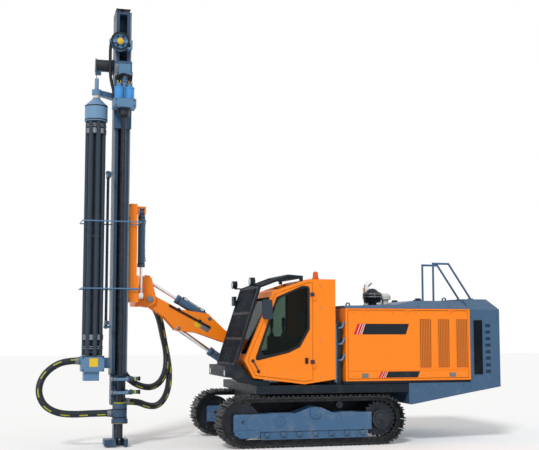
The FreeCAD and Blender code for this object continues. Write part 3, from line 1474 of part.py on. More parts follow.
SECTION = [
    (MAST_LEFT, "mast_left_y"),
    (f"{MAST_LEFT} + mast_lip", "mast_left_y"),
    (f"{MAST_LEFT} + mast_lip", "mast_left_y + mast_web"),
    (f"{MAST_LEFT} + mast_web", "mast_left_y + mast_web"),
    (f"{MAST_LEFT} + mast_web", "mast_right_y - mast_web"),
    (f"{MAST_RIGHT} - mast_web", "mast_right_y - mast_web"),
    (f"{MAST_RIGHT} - mast_web", "mast_left_y + mast_web"),
    (f"{MAST_RIGHT} - mast_lip", "mast_left_y + mast_web"),
    (f"{MAST_RIGHT} - mast_lip", "mast_left_y"),
    (MAST_RIGHT, "mast_left_y"),
    (MAST_RIGHT, "mast_right_y"),
    (MAST_LEFT, "mast_right_y"),
]
node("mast_beam", fuse(
    plate("XY", SECTION, "mast_low_z", "mast_high_z"),
    box((MAST_LEFT, MAST_RIGHT), ("mast_left_y", "mast_right_y"), ("mast_high_z", "mast_high_z + 40")),
    turned([("0", "mast_high_z + 30"), ("28", "mast_high_z + 30"), ("20", "finial_z - 30"),
            ("0", "finial_z")], ("mast_x", "0")),
    box(("bundle_front_x - hose_radius - gland_wall", "bundle_front_x + hose_radius + gland_wall"),
        ("mast_right_y - 5", "bundle_front_y + 20"), ("bundle_front_z + 10", "bundle_front_z + 30")),
    gland("z", ("bundle_front_x", "bundle_front_y"), "bundle_front_z", "bundle_front_z + 30"),
    box(("shift_x - 30", "shift_x + 30"), ("mast_right_y - 5", f"{SHIFT_Y} + 25"),
        ("shift_rod_low_z", "shift_rod_low_z + 50")),
    drum("z", ("shift_x", SHIFT_Y), "shift_rod_low_z + 10", "shift_rod_high_z", "shift_rod"),
))
node("feed_chain", box(("mast_x - 22", "mast_x + 22"), ("mast_right_y - mast_web - seat_gap - 60",
                                                        "mast_right_y - mast_web - seat_gap"),
                       ("mast_low_z + 60", "mast_high_z - 120")))

sheave_y = "(mast_left_y - sheave_width - sheave_stand)"
sheave_middle = "(mast_left_y - sheave_width / 2 - sheave_stand)"
sheave = fuse(
    *[drum("y", ("sheave_x", "sheave_z"), low, f"{low} + sheave_flange", "sheave_radius")
      for low in (sheave_y, f"{sheave_y} + sheave_width - sheave_flange")],
    drum("y", ("sheave_x", "sheave_z"), sheave_y, f"{sheave_y} + sheave_width",
         "sheave_radius - sheave_groove"),
    drum("y", ("sheave_x", "sheave_z"), f"{sheave_y} - 30", "mast_left_y - seat_gap", "25"),
)
clamp_x = "(sheave_x + sheave_radius - sheave_groove + head_hose_radius + 0.5)"
clamp = fuse(
    box((f"{clamp_x} - 35", f"{clamp_x} + 35"), (f"{sheave_y} - 30", "mast_left_y - seat_gap"),
        ("clamp_z - 35", "clamp_z")),
    box((f"{MAST_RIGHT} - 30", MAST_RIGHT), (f"{sheave_y} - 30", f"{sheave_y} - 12"),
        ("clamp_z - 35", "sheave_z")),
)
cheek_bar = box(("sheave_x - sheave_radius - 25", MAST_RIGHT), (f"{sheave_y} - 30", f"{sheave_y} - 12"),
                ("sheave_z - 25", "sheave_z + 25"))
node("hose_sheave", fuse(sheave, cheek_bar, clamp))
node("mast_winch", fuse(
    drum("x", ("mast_left_y + 60", "winch_z"), f"{MAST_LEFT} - 30 - winch_length", f"{MAST_LEFT} - 30",
         "winch_radius"),
    box((f"{MAST_LEFT} - 40", f"{MAST_LEFT} - seat_gap"), ("mast_left_y", "mast_right_y"),
        ("winch_z - 90", "winch_z + 90")),
    box((f"{MAST_LEFT} - 30 - winch_length", f"{MAST_LEFT} - winch_length + 60"),
        ("mast_left_y + 20", "mast_left_y + 100"),
        ("winch_z - winch_radius - 60", "winch_z - winch_radius + 20")),
))

DRILL = ("mast_x", "drill_y")


def jaw(low, high):
    """The space between two jaws: open to the front, and deep enough to hold the rod."""
    half = "hammer_radius + jaw_gap"
    return box((f"mast_x - ({half})", f"mast_x + {half}"),
               ("drill_y - steady_half - 10", f"drill_y + {half}"), (low, high))


steady = []
for z in ("steady_low_z", "steady_high_z"):
    ring = [
        box((MAST_LEFT, MAST_RIGHT), ("drill_y - steady_half", "mast_left_y + 60"),
            (f"{z} - steady_height / 2", f"{z} + steady_height / 2")),
        drum("x", ("drill_y", z), f"{MAST_RIGHT} - 10", "steady_arm_x", "28"),
        drum("x", ("drill_y + 70", z), f"{MAST_RIGHT} - 10", "steady_arm_x - 30", "22"),
        drum("x", ("drill_y", z), f"{MAST_RIGHT} + 20", f"{MAST_RIGHT} + 60", "40"),
    ]
    steady.append(fuse(*ring))
steady.append(box((f"{MAST_LEFT} + 20", f"{MAST_RIGHT} - 20"), ("mast_left_y + 10", "mast_right_y"),
                  ("hood_high_z - 40", "mast_low_z - seat_gap")))
steady.append(gland("x", ("0", "bundle_rear_z"), f"{MAST_RIGHT} - 30", f"{MAST_RIGHT} - 20 + gland_length"))
node("rod_steadies", cut(fuse(*steady), jaw("hood_low_z", "mast_low_z + 100")))

shroud = cut(
    drum("z", DRILL, "hood_low_z", "hood_high_z", "hood_radius"),
    drum("z", DRILL, "hood_low_z - 5", "hood_high_z - 30", "hood_radius - hood_skin"),
    drum("z", DRILL, "hood_low_z - 10", "hood_high_z + 10", "hammer_radius + hood_gap"),
)
node("dust_hood", fuse(
    shroud,
    cut(gland("x", ("drill_y", "hood_port_z"), "mast_x - hood_radius - gland_length",
              "mast_x - hood_radius + 30"),
        drum("z", DRILL, "hood_low_z", "hood_high_z", "hood_radius - hood_skin / 2")),
    cut(drum("z", DRILL, "hood_low_z - 5", "hood_low_z + 60", "hood_radius + 14"),
        drum("z", DRILL, "hood_low_z - 10", "hood_low_z + 70", "hood_radius - hood_skin")),
    box((f"{MAST_LEFT} + 40", f"{MAST_RIGHT} - 40"), ("drill_y + hood_radius - 6",
                                                      "mast_left_y + 10 - seat_gap"),
                                                      ("hood_high_z - 60", "hood_high_z")),
))
FOOT = [
    ("foot_front_x", "foot_low_z + 20"),
    ("foot_front_x", "foot_top_z"),
    ("foot_rear_x", "foot_top_z"),
    ("foot_rear_x", "foot_low_z"),
    ("foot_front_x + 40", "foot_low_z"),
]
node("mast_foot", cut(
    fuse(
        plate("XZ", FOOT, "drill_y - 120", "drill_y + 120"),
        box(("mast_x - 60", "mast_x + 60"), ("drill_y + 100", "mast_right_y - 40"),
            ("foot_low_z + 10", "foot_top_z")),
        box(("mast_x - 60", "mast_x + 60"), ("mast_left_y + 20", "mast_right_y - 40"),
            ("foot_low_z + 10", "hood_high_z - 40 - seat_gap")),
    ),
    jaw("foot_low_z - 10", "foot_top_z + 10"),
))

tray_x = ("magazine_x - tray_half", "magazine_x + tray_half")
tray_y = ("magazine_y - tray_half", "magazine_y + tray_half")
tray = fuse(
    box(tray_x, tray_y, ("tray_low_z", "tray_top_z")),
    gland("x", ("suction_y", "suction_z"), "magazine_x - tray_half - gland_length",
          "magazine_x - tray_half + 10"),
    box(("magazine_x - 130", "magazine_x + 100"), ("magazine_y - 120", "magazine_y + 120"),
        ("tray_low_z - 140", "tray_low_z + 10")),
    box(("magazine_x + tray_half - 10", f"{MAST_LEFT} - seat_gap"),
        ("mast_left_y + 10", "magazine_y + tray_half"), ("tray_low_z + 40", "tray_top_z - 30")),
)
bearing = cut(
    fuse(
        drum("z", ("magazine_x", "magazine_y"), "bearing_low_z", "bearing_high_z", "magazine_tube + 40"),
        plate("XY", [("magazine_x + 20", "magazine_y - 30"), ("magazine_x - 20", "magazine_y + 40"),
                     (f"{MAST_LEFT} - seat_gap", "mast_right_y - 30"),
                     (f"{MAST_LEFT} - seat_gap", "mast_left_y + 50")],
              "bearing_low_z", "bearing_high_z"),
    ),
    drum("z", ("magazine_x", "magazine_y"), "bearing_low_z - 10", "bearing_high_z + 10",
         "magazine_tube + 0.1"),
)

hoops = []
for z in ("hoop_low_z", "hoop_high_z"):
    points = [(f"{MAST_RIGHT} + seat_gap", "cradle_left_y - 40", z),
              ("hoop_right_x", "cradle_left_y - 40", z),
              ("hoop_right_x", "hoop_front_y", z), ("hoop_left_x", "hoop_front_y", z),
              ("hoop_left_x", "hoop_back_y", z), (f"{MAST_LEFT} - seat_gap", "hoop_back_y", z)]
    hoops.append(fuse(*[tube(a, b, "hoop_tube") for a, b in zip(points, points[1:])]))
node("rod_hoops", group(*hoops))


# Rotary head: a carriage on the mast's lips, a gearbox and two motors, and the string that it turns

front = "mast_left_y - run_gap"
node("head_carriage", fuse(
    box((f"{MAST_LEFT} - run_gap", f"{MAST_RIGHT} + run_gap"), (f"{front} - carriage_plate", front),
        ("head_low_z", "head_high_z")),
    box(("mast_x - 60", "mast_x + 60"), (f"{front} - 20", "mast_left_y + 40"),
        ("head_low_z + 100", "head_low_z + 260")),
    box((f"{MAST_LEFT} - seat_gap", f"{MAST_RIGHT} + seat_gap"), (f"{front} - 10", "mast_left_y - seat_gap"),
        ("head_low_z + 20", "head_low_z + 90")),
    box((f"{MAST_LEFT} - seat_gap", f"{MAST_RIGHT} + seat_gap"), (f"{front} - 10", "mast_left_y - seat_gap"),
        ("head_high_z - 90", "head_high_z - 20")),
))
gear_top = "gearbox_top_z"
motors = []
for side_sign in (-1, 1):
    x = f"mast_x + {side_sign} * motor_offset"
    motors.append(drum("z", (x, "drill_y - 30"), f"{gear_top} - 5", "motor_top_z", "motor_radius"))
    motors.append(drum("z", (x, "drill_y - 30"), "motor_top_z - 10", "motor_top_z + 60",
                       "motor_radius * 0.62"))
node("head_gearbox", cut(
    fuse(
        box(("mast_x - gearbox_half", "mast_x + gearbox_half"),
            ("drill_y - gearbox_half + 30", f"{front} - carriage_plate - seat_gap"),
            ("gearbox_low_z", gear_top)),
        *motors,
        drum("z", DRILL, gear_top, "motor_top_z + 160", "40"),
        box(("mast_x - 90", "mast_x + 90"), ("drill_y - 60", f"{front} - carriage_plate - seat_gap"),
            ("motor_top_z + 200", "head_high_z - 100")),
        drum("z", DRILL, "motor_top_z + 100", "motor_top_z + 220", "55"),
    ),
    drum("z", DRILL, "gearbox_low_z - 10", "gearbox_low_z + 80", "rod_radius + 0.1"),
))
drill_chuck = turned(
    [("0", "gearbox_low_z + 70"), ("rod_radius", "gearbox_low_z + 70"),
     ("rod_radius", "gearbox_low_z - seat_gap"),
     ("hub_half", "gearbox_low_z - seat_gap"), ("hub_half", "hub_low_z + 30"),
     ("hub_half * 0.6", "hub_low_z"),
     ("0", "hub_low_z")], DRILL)
drill_rod = turned(
    [("0", "hub_low_z - seat_gap"), ("rod_radius", "hub_low_z - seat_gap"),
     ("rod_radius", "hammer_top_z + 60 + seat_gap"), ("0", "hammer_top_z + 60 + seat_gap")], DRILL)
drill_hammer = turned(
    [("0", "hammer_top_z + 60"), ("rod_radius", "hammer_top_z + 60"), ("hammer_radius", "hammer_top_z"),
     ("hammer_radius", "bit_low_z"), ("0", "bit_low_z")], DRILL)
node("drill_string", group(drill_chuck, drill_rod, drill_hammer))


# Rod magazine: a centre tube with a head drum, two carrier plates and a ring of rods, and its swing arms

carousel = [turned(
    [("0", "tray_top_z + seat_gap"), ("magazine_tube * 2", "tray_top_z + seat_gap"),
     ("magazine_tube * 2", "tray_top_z + 30"),
     ("magazine_tube", "tray_top_z + 40"), ("magazine_tube", "magazine_head_z"),
     ("magazine_radius", "magazine_head_z"),
     ("magazine_radius", "magazine_neck_z"), ("magazine_tube * 1.8", "magazine_cone_z"),
     ("magazine_tube", "magazine_cone_z + 8"), ("magazine_tube", "magazine_tube_z"),
     ("0", "magazine_tube_z")],
    ("magazine_x", "magazine_y"))]
carousel.append(drum("z", ("magazine_x", "magazine_y"), "magazine_low_z + 40", "magazine_low_z + 65",
                     "magazine_circle"))
carousel.append(drum("z", ("magazine_x", "magazine_y"), "(magazine_low_z + magazine_head_z) / 2",
                     "(magazine_low_z + magazine_head_z) / 2 + 25",
                     "magazine_circle"))
count = round(value("magazine_rods"))
for number in range(count):
    turn = 360 * (number + 0.5) / count
    x = f"magazine_x + magazine_circle * cos({turn:.4f})"
    y = f"magazine_y + magazine_circle * sin({turn:.4f})"
    carousel.append(drum("z", (x, y), "magazine_low_z", "magazine_head_z + 10", "rod_radius"))
node("rod_magazine", fuse(*carousel))

arms = [drum("z", ("arm_x", "arm_y"), "arm_low_z - 60", "arm_high_z + 60 + arm_height", "arm_shaft")]
for z in ("arm_low_z", "arm_high_z"):
    arms.append(plate("XY", [("arm_x - 28", "arm_y + 26"), ("arm_x + 28", "arm_y + 26"),
                             ("arm_x + 24", "arm_y - arm_length"),
                             ("arm_x - 24", "arm_y - arm_length")], z, f"{z} + arm_height"))
node("rod_arms", fuse(*arms))
brackets = []
for z in ("arm_low_z - 50", "arm_high_z + arm_height + 10"):
    brackets.append(cut(
        box(("arm_x - 34", f"{MAST_LEFT} - seat_gap"), ("arm_y - 34", "arm_y + 34"), (z, f"{z} + 40")),
        drum("z", ("arm_x", "arm_y"), f"{z} - 10", f"{z} + 50", "arm_shaft + 0.1"),
    ))
node("magazine_frame", group(tray, bearing, *brackets))


# Hoses: each is straight runs joined by arcs as large as the runs allow

SUCTION = [
    (-3480.3, -190, 1300), (-3690, -190, 1300), (-3895, -215, 1205), (-4040, -255, 1050), (-4090, -305, 845),
    (-4010, -345, 645), (-3820, -365, 530), (-3580, -360, 500), (-3290, -350, 510), (-3000.3, -350, 510),
]
BUNDLE_FRONT = [
    (-2790, 190, 1369.7), (-2790, 190, 1190), (-2700, 200, 1020), (-2520, 240, 890), (-2290, 350, 840),
    (-2110, 500, 920),
    (-2000, 640, 1100), (-1970, 735, 1350), (-2020, 760, 1640), (-2080, 755, 1950), (-2180, 745, 2180),
    (-2340, 740, 2280),
    (-2539.7, 740, 2280),
]
BUNDLE_REAR = [
    (-2739.7, 0, 655), (-2560, 0, 655), (-2380, 75, 575), (-2200, 220, 560), (-2050, 400, 670),
    (-1960, 570, 860),
    (-1925, 730, 1080), (-1940, 850, 1350), (-2010, 900, 1650), (-2075, 897, 1960), (-2180, 885, 2185),
    (-2340, 880, 2280),
    (-2539.7, 880, 2280),
]
HEAD_HOSE = [
    (-2782.5, -215, 6250.3), (-2782.5, -215, 6489.5), (-3081.5, -215, 6489.5), (-3081.5, -215, 5850),
    (-3060, -225, 5680), (-3015, -250, 5500), (-3015, -250, 5370.3),
]
BEND_SHARE = 0.45


def hose(label, route, radius, wrap=None):
    """A hose along a route. wrap gives the radius where it lies on a sheave, at the points that turn squarely."""
    points = [FreeCAD.Vector(*place) for place in route]
    edges, bends, here, length = [], [], points[0], 0
    for before, corner, after in zip(points, points[1:], points[2:]):
        come, leave = (corner - before).normalize(), (after - corner).normalize()
        turn = come.getAngle(leave)
        shorter = min((corner - before).Length, (after - corner).Length)
        bend = BEND_SHARE * shorter / math.tan(turn / 2)
        if wrap and turn > math.pi / 3:
            bend = wrap
        reach = bend * math.tan(turn / 2)
        start, end = corner - come * reach, corner + leave * reach
        towards = (leave - come).normalize()
        middle = corner + towards * (bend / math.cos(turn / 2) - bend)
        if (start - here).Length > 0.01:
            edges.append(Part.LineSegment(here, start).toShape())
            length += (start - here).Length
        edges.append(Part.Arc(start, middle, end).toShape())
        length += bend * turn
        bends.append(round(bend))
        here = end
    edges.append(Part.LineSegment(here, points[-1]).toShape())
    length += (points[-1] - here).Length
    section = Part.Wire(Part.makeCircle(radius, points[0], points[1] - points[0]))
    shape = Part.Wire(edges).makePipeShell([section], True, False)
    share = shape.Volume / (math.pi * radius**2 * length)
    print(label, "length", round(length), "bends", bends, "volume over section times length",
          round(share, 5))
    node(label, solid(shape, "Hose"))


hose_radius = value("hose_radius")
hose("suction_hose", SUCTION, hose_radius)
hose("bundle_hose_front", BUNDLE_FRONT, hose_radius)
hose("bundle_hose_rear", BUNDLE_REAR, hose_radius)
hose("head_hose", HEAD_HOSE, value("head_hose_radius"),
     wrap=value("sheave_radius - sheave_groove + head_hose_radius + 0.5"))

doc.recompute()

# Every object has to be sound before anything is written.
for item in doc.Objects:
    for word in ("Invalid", "Error"):
        if word in item.State:
            raise RuntimeError(f"{item.Name} {item.Label} is {item.State}")
os.makedirs("parts", exist_ok=True)
for item in NODES:
    shape = item.Shape
    if shape.isNull() or not shape.isValid() or not shape.Solids:
        raise RuntimeError(f"{item.Label} has no sound shape")
    shape.exportStep(f"parts/{item.Label}.step")
    print(item.Label, len(shape.Solids), round(shape.Volume / 1e9, 5))
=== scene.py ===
# %% [markdown]
# # A crawler drilling rig, dressed in Blender
#
# The machine arrives as a fixed set of exact solids: tracks, cab, engine housing, boom and mast. This
# lesson gives those solids their paint, steel, rubber and glass, and adds what a maker would fit last:
# bolts, seals, hoses, chains, lamps and clamps. Every length is in metres, +X points to the rear, -Y to
# the cab side and +Z up.

# %% Load the frame
import json
import random
from math import atan2, cos, degrees, dist, radians, sin, tan, tau

import bmesh
import bpy
from mathutils import Matrix, Vector


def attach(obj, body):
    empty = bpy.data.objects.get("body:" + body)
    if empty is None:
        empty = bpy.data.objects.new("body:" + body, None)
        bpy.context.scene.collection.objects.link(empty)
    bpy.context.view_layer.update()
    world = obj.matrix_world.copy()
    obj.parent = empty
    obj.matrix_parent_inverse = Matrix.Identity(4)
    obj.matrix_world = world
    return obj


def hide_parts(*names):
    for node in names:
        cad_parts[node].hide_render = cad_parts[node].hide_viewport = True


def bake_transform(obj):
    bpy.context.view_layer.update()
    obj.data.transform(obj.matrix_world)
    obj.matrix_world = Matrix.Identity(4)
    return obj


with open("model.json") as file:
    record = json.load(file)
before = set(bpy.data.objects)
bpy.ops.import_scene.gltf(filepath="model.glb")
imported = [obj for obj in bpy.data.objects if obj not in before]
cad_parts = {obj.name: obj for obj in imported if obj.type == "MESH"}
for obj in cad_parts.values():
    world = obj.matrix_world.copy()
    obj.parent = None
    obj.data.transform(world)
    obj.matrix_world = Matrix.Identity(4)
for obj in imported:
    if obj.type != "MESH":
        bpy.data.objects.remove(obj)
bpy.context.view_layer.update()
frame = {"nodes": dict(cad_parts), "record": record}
random.seed(7)


# %% [markdown]
# ## Camera
#
# The photograph was taken with a long lens from low down on the cab side. The place, aim and lens below
# were worked out together with the sizes of the tracks, the housing and the mast. A small shift puts the
# optical centre where the picture has it, a little off its middle.

# %% Camera
PICTURE = (539, 450)
FOCAL_PIXELS = 982.563
OPTICAL_CENTRE = (272.376, 240.465)
CAMERA_PLACE = (-4.721, -15.605, 1.730)
CAMERA_TURN = 15.654
CAMERA_RISE = 5.358

camera_data = bpy.data.cameras.new("camera")
camera_data.sensor_width = 36
camera_data.lens = FOCAL_PIXELS / PICTURE[0] * camera_data.sensor_width
camera_data.shift_x = (PICTURE[0] / 2 - OPTICAL_CENTRE[0]) / PICTURE[0]
camera_data.shift_y = (OPTICAL_CENTRE[1] - PICTURE[1] / 2) / PICTURE[0]
camera_data.clip_end = 200
camera = bpy.data.objects.new("camera", camera_data)
camera.location = CAMERA_PLACE
camera.rotation_euler = (radians(90 + CAMERA_RISE), 0, radians(-CAMERA_TURN))
bpy.context.scene.collection.objects.link(camera)
bpy.context.scene.camera = camera
print("lens", round(camera_data.lens, 2), "mm")


# %% [markdown]
# ## Tools for small pieces
#
# Bolts, plates, pipes and rings are the same few forms over and over. A small class collects such forms
# in one mesh and turns it into a finished object: its edges get a narrow bevel, as every real edge has,
# and it rides on one body of the machine. Building them in mesh code keeps each size written once and
# exact.

# %% Forms collected in one mesh
SHARP_ANGLE = radians(38)
SIDES = ((-1, "left"), (1, "right"))


def smooth_line(points, fineness):
    """The places along a smooth spline that has these points as its control points."""
    curve = bpy.data.curves.new("line", "CURVE")
    curve.dimensions = "3D"
    spline = curve.splines.new("NURBS")
    spline.points.add(len(points) - 1)
    for point, place in zip(spline.points, points):
        point.co = (*place, 1)
    spline.order_u = 3
    spline.use_endpoint_u = True
    spline.resolution_u = fineness
    carrier = bpy.data.objects.new("line", curve)
    mesh = bpy.data.meshes.new_from_object(carrier)
    places = [v.co.copy() for v in mesh.vertices]
    bpy.data.objects.remove(carrier)
    bpy.data.curves.remove(curve)
    bpy.data.meshes.remove(mesh)
    return places


def length_of(places):
    return sum((b - a).length for a, b in zip(places, places[1:]))


def turns(count, start=0.0):
    """Even angles round a full turn."""
    return [start + tau * k / count for k in range(count)]


def circle(count):
    """Even places round a circle of radius 1."""
    return [(cos(turn), sin(turn)) for turn in turns(count)]


def settled(mesh, name, look=None):
    """A smooth object made of a finished mesh and linked to the scene."""
    bmesh.ops.recalc_face_normals(mesh, faces=mesh.faces)
    data = bpy.data.meshes.new(name)
    mesh.to_mesh(data)
    mesh.free()
    for face in data.polygons:
        face.use_smooth = True
    if look:
        data.materials.append(look)
    piece = bpy.data.objects.new(name, data)
    bpy.context.scene.collection.objects.link(piece)
    return piece


class Work:
    """Collects simple forms in one mesh and makes one piece of them."""

    def __init__(self):
        self.mesh = bmesh.new()

    def box(self, low, high, turn=None, about=None):
        """An upright block between two corners. turn = (axis, degrees) turns it about its middle."""
        made = bmesh.ops.create_cube(self.mesh, size=1)["verts"]
        low, high = Vector(low), Vector(high)
        bmesh.ops.scale(self.mesh, vec=high - low, verts=made)
        bmesh.ops.translate(self.mesh, vec=(high + low) / 2, verts=made)
        if turn:
            axis, angle = turn
            centre = Vector(about) if about else (high + low) / 2
            spin = Matrix.Rotation(radians(angle), 3, axis)
            bmesh.ops.rotate(self.mesh, cent=centre, matrix=spin, verts=made)
        return self

    def post(self, x, y, wide, deep, low, high, turn=None):
        """An upright block round (x, y), from low to high; wide and deep are half its size each way."""
        return self.box((x - wide, y - deep, low), (x + wide, y + deep, high), turn)

    def rings(self, rings, closed=False, caps=True):
        """Joins rings of points, each with the same count, into a skin."""
        made = [[self.mesh.verts.new(p) for p in ring] for ring in rings]
        pairs = list(zip(made, made[1:])) + ([(made[-1], made[0])] if closed else [])
        for one, two in pairs:
            count = len(one)
            for i in range(count):
                j = (i + 1) % count
                self.mesh.faces.new((one[i], one[j], two[j], two[i]))
        if caps and not closed:
            self.mesh.faces.new(made[0])
            self.mesh.faces.new(made[-1])
        return self

    def turned(self, start, end, profile, sides=24, closed=False):
        """A turned form on the line from start to end. profile has rows of (metres along, radius)."""
        start, end = Vector(start), Vector(end)
        line = (end - start).normalized()
        across = line.orthogonal().normalized()
        up = line.cross(across)
        rings = []
        for along, radius in profile:
            rings.append([start + line * along + (across * u + up * v) * radius for u, v in circle(sides)])
        return self.rings(rings, closed)

    def cap(self, place, way, profile, sides=24):
        """A turned form that stands on place and points along way."""
        return self.turned(place, Vector(place) + Vector(way), profile, sides)

    def bar(self, start, end, radius, sides=16):
        length = (Vector(end) - Vector(start)).length
        return self.turned(start, end, [(0, radius), (length, radius)], sides)

    def ring(self, start, end, outer, inner, sides=28):
        length = (Vector(end) - Vector(start)).length
        return self.turned(start, end, [(0, inner), (0, outer), (length, outer), (length, inner)], sides,
                           True)

    def bolt(self, place, way, across=0.012):
        """A hexagon head on a washer, standing on place and pointing along way."""
        place, way = Vector(place), Vector(way).normalized()
        self.turned(place, place + way, [(0, across * 1.1), (across * 0.18, across * 1.1)], 16)
        head = [(across * 0.18, across * 0.82), (across * 0.75, across * 0.82),
                (across * 0.85, across * 0.66)]
        return self.turned(place, place + way, head, 6)

    def bolts(self, centre, way, reach, count, across):
        """A circle of bolts."""
        way = Vector(way).normalized()
        across_way = way.orthogonal().normalized()
        up = way.cross(across_way)
        for u, v in circle(count):
            self.bolt(Vector(centre) + (across_way * u + up * v) * reach, way, across)
        return self

    def pipe(self, points, radius, sides=10, fineness=8):
        """A round pipe whose bends follow a smooth line."""
        return self.swept(smooth_line(points, fineness), lambda along: radius, sides)

    def swept(self, line, radius_at, sides=10):
        """A round section carried along places; radius_at gives its radius for the metres run so far."""
        way = (line[1] - line[0]).normalized()
        across = way.orthogonal().normalized()
        rings, along = [], 0.0
        for i, place in enumerate(line):
            ahead = line[min(i + 1, len(line) - 1)] - line[max(i - 1, 0)]
            way = ahead.normalized()
            across = (across - way * across.dot(way)).normalized()
            up = way.cross(across)
            along += (place - line[i - 1]).length if i else 0.0
            r = radius_at(along)
            rings.append([place + (across * u + up * v) * r for u, v in circle(sides)])
        return self.rings(rings)

    def slab(self, outline, across, depth):
        """A flat plate: outline has points in space, across is the way of its thickness, depth how thick."""
        step = Vector(across).normalized() * depth
        one = [Vector(p) for p in outline]
        return self.rings([one, [p + step for p in one]])

    def strip(self, outline, place, width, depth):
        """A flat strip round a closed outline of (u, v) points. place turns (u, v, w) into a place."""
        rings, count = [], len(outline)
        for i, (u, v) in enumerate(outline):
            back, ahead = outline[i - 1], outline[(i + 1) % count]
            way = Vector((ahead[0] - back[0], ahead[1] - back[1])).normalized()
            side = Vector((-way.y, way.x)) * width / 2
            square = ((1, 1), (1, -1), (-1, -1), (-1, 1))
            rings.append([Vector(place(u + side.x * a, v + side.y * a, depth / 2 * b)) for a, b in square])
        return self.rings(rings, True)

    def done(self, name, body, finish, bevel=0.0025):
        piece = settled(self.mesh, name, finish)
        piece.data.set_sharp_from_angle(angle=SHARP_ANGLE)
        if bevel:
            soften = piece.modifiers.new("bevel", "BEVEL")
            soften.width = bevel
            soften.segments = 2
            soften.limit_method = "ANGLE"
            soften.angle_limit = SHARP_ANGLE
            soften.harden_normals = True
        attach(piece, body)
        return piece


def works(count):
    """That many empty collections of forms."""
    return [Work() for _ in range(count)]


def make_pieces(body, *rows):
    """Makes a piece of each row: (work, name, material), with its bevel as a fourth value if need be."""
    for work, name, look, *bevel in rows:
        work.done(name, body, look, *bevel)


def corners(low, high):
    """The outline of an upright rectangle between two (u, v) corners."""
    return [low, (high[0], low[1]), high, (low[0], high[1])]


def rounded(points, radius, steps=5):
    """A closed outline of (u, v) points with its corners rounded."""
    out = []
    for i, point in enumerate(points):
        corner, before, after = Vector(point), Vector(points[i - 1]), Vector(points[(i + 1) % len(points)])
        come, leave = (before - corner).normalized(), (after - corner).normalized()
        reach = min(radius / tan(come.angle(leave) / 2), (before - corner).length * 0.45,
                    (after - corner).length * 0.45)
        for step in range(steps + 1):
            share = step / steps
            one, two = corner + come * reach * (1 - share), corner + leave * reach * share
            out.append(tuple(one * (1 - share) + two * share))
    return out


print("forms", [name for name in dir(Work) if not name.startswith("_")])


# %% [markdown]
# ## Hoses
#
# Four thick hoses leave the machine's parts and go back into them: the dust hose in a wide loop at the
# front, two hose bundles that sag between the mast and its cradle, and the head's hose, which runs over a
# sheave. Each is one length of rubber, so it has the smooth line of a thing that resists bending. A
# spline whose control points are the route's points gives that line, and a tube with fine ribs is carried
# along it.

# %% Hose routes
HOSES = {
    "suction_hose": [
        (-3.4803, -0.190, 1.300), (-3.690, -0.190, 1.300), (-3.895, -0.215, 1.205), (-4.040, -0.255, 1.050),
        (-4.090, -0.305, 0.845), (-4.010, -0.345, 0.645), (-3.820, -0.365, 0.530), (-3.580, -0.360, 0.500),
        (-3.290, -0.350, 0.510), (-3.0003, -0.350, 0.510),
    ],
    "bundle_hose_front": [
        (-2.790, 0.190, 1.3697), (-2.790, 0.190, 1.190), (-2.700, 0.200, 1.020), (-2.520, 0.240, 0.890),
        (-2.290, 0.350, 0.840), (-2.110, 0.500, 0.920), (-2.000, 0.640, 1.100), (-1.970, 0.735, 1.350),
        (-2.020, 0.760, 1.640), (-2.080, 0.755, 1.950), (-2.180, 0.745, 2.180), (-2.340, 0.740, 2.280),
        (-2.5397, 0.740, 2.280),
    ],
    "bundle_hose_rear": [
        (-2.7397, 0.000, 0.655), (-2.560, 0.000, 0.655), (-2.380, 0.075, 0.575), (-2.200, 0.220, 0.560),
        (-2.050, 0.400, 0.670), (-1.960, 0.570, 0.860), (-1.925, 0.730, 1.080), (-1.940, 0.850, 1.350),
        (-2.010, 0.900, 1.650), (-2.075, 0.897, 1.960), (-2.180, 0.885, 2.185), (-2.340, 0.880, 2.280),
        (-2.5397, 0.880, 2.280),
    ],
    "head_hose": [
        (-2.7825, -0.215, 6.2503), (-2.7825, -0.215, 6.4895), (-3.0815, -0.215, 6.4895),
        (-3.0815, -0.215, 5.850), (-3.060, -0.225, 5.680), (-3.015, -0.250, 5.500), (-3.015, -0.250, 5.3703),
    ],
}
HOSE_DIAMETER = {"suction_hose": 0.105, "bundle_hose_front": 0.105, "bundle_hose_rear": 0.105,
                 "head_hose": 0.050}
lines = {name: smooth_line(points, 24) for name, points in HOSES.items()}


# %% Hose tubes
RIB_PITCH = 0.024
RIB_DEPTH = 0.0022
HOSE_SIDES = 28


def even_places(line, step):
    """Places an even step apart along a line, from its start to its end."""
    total = length_of(line)
    count = max(2, round(total / step))
    places, run, index = [line[0]], 0.0, 0
    for number in range(1, count):
        aim = total * number / count
        while run + (line[index + 1] - line[index]).length < aim:
            run += (line[index + 1] - line[index]).length
            index += 1
        gap = line[index + 1] - line[index]
        places.append(line[index] + gap * ((aim - run) / gap.length))
    return places + [line[-1]]


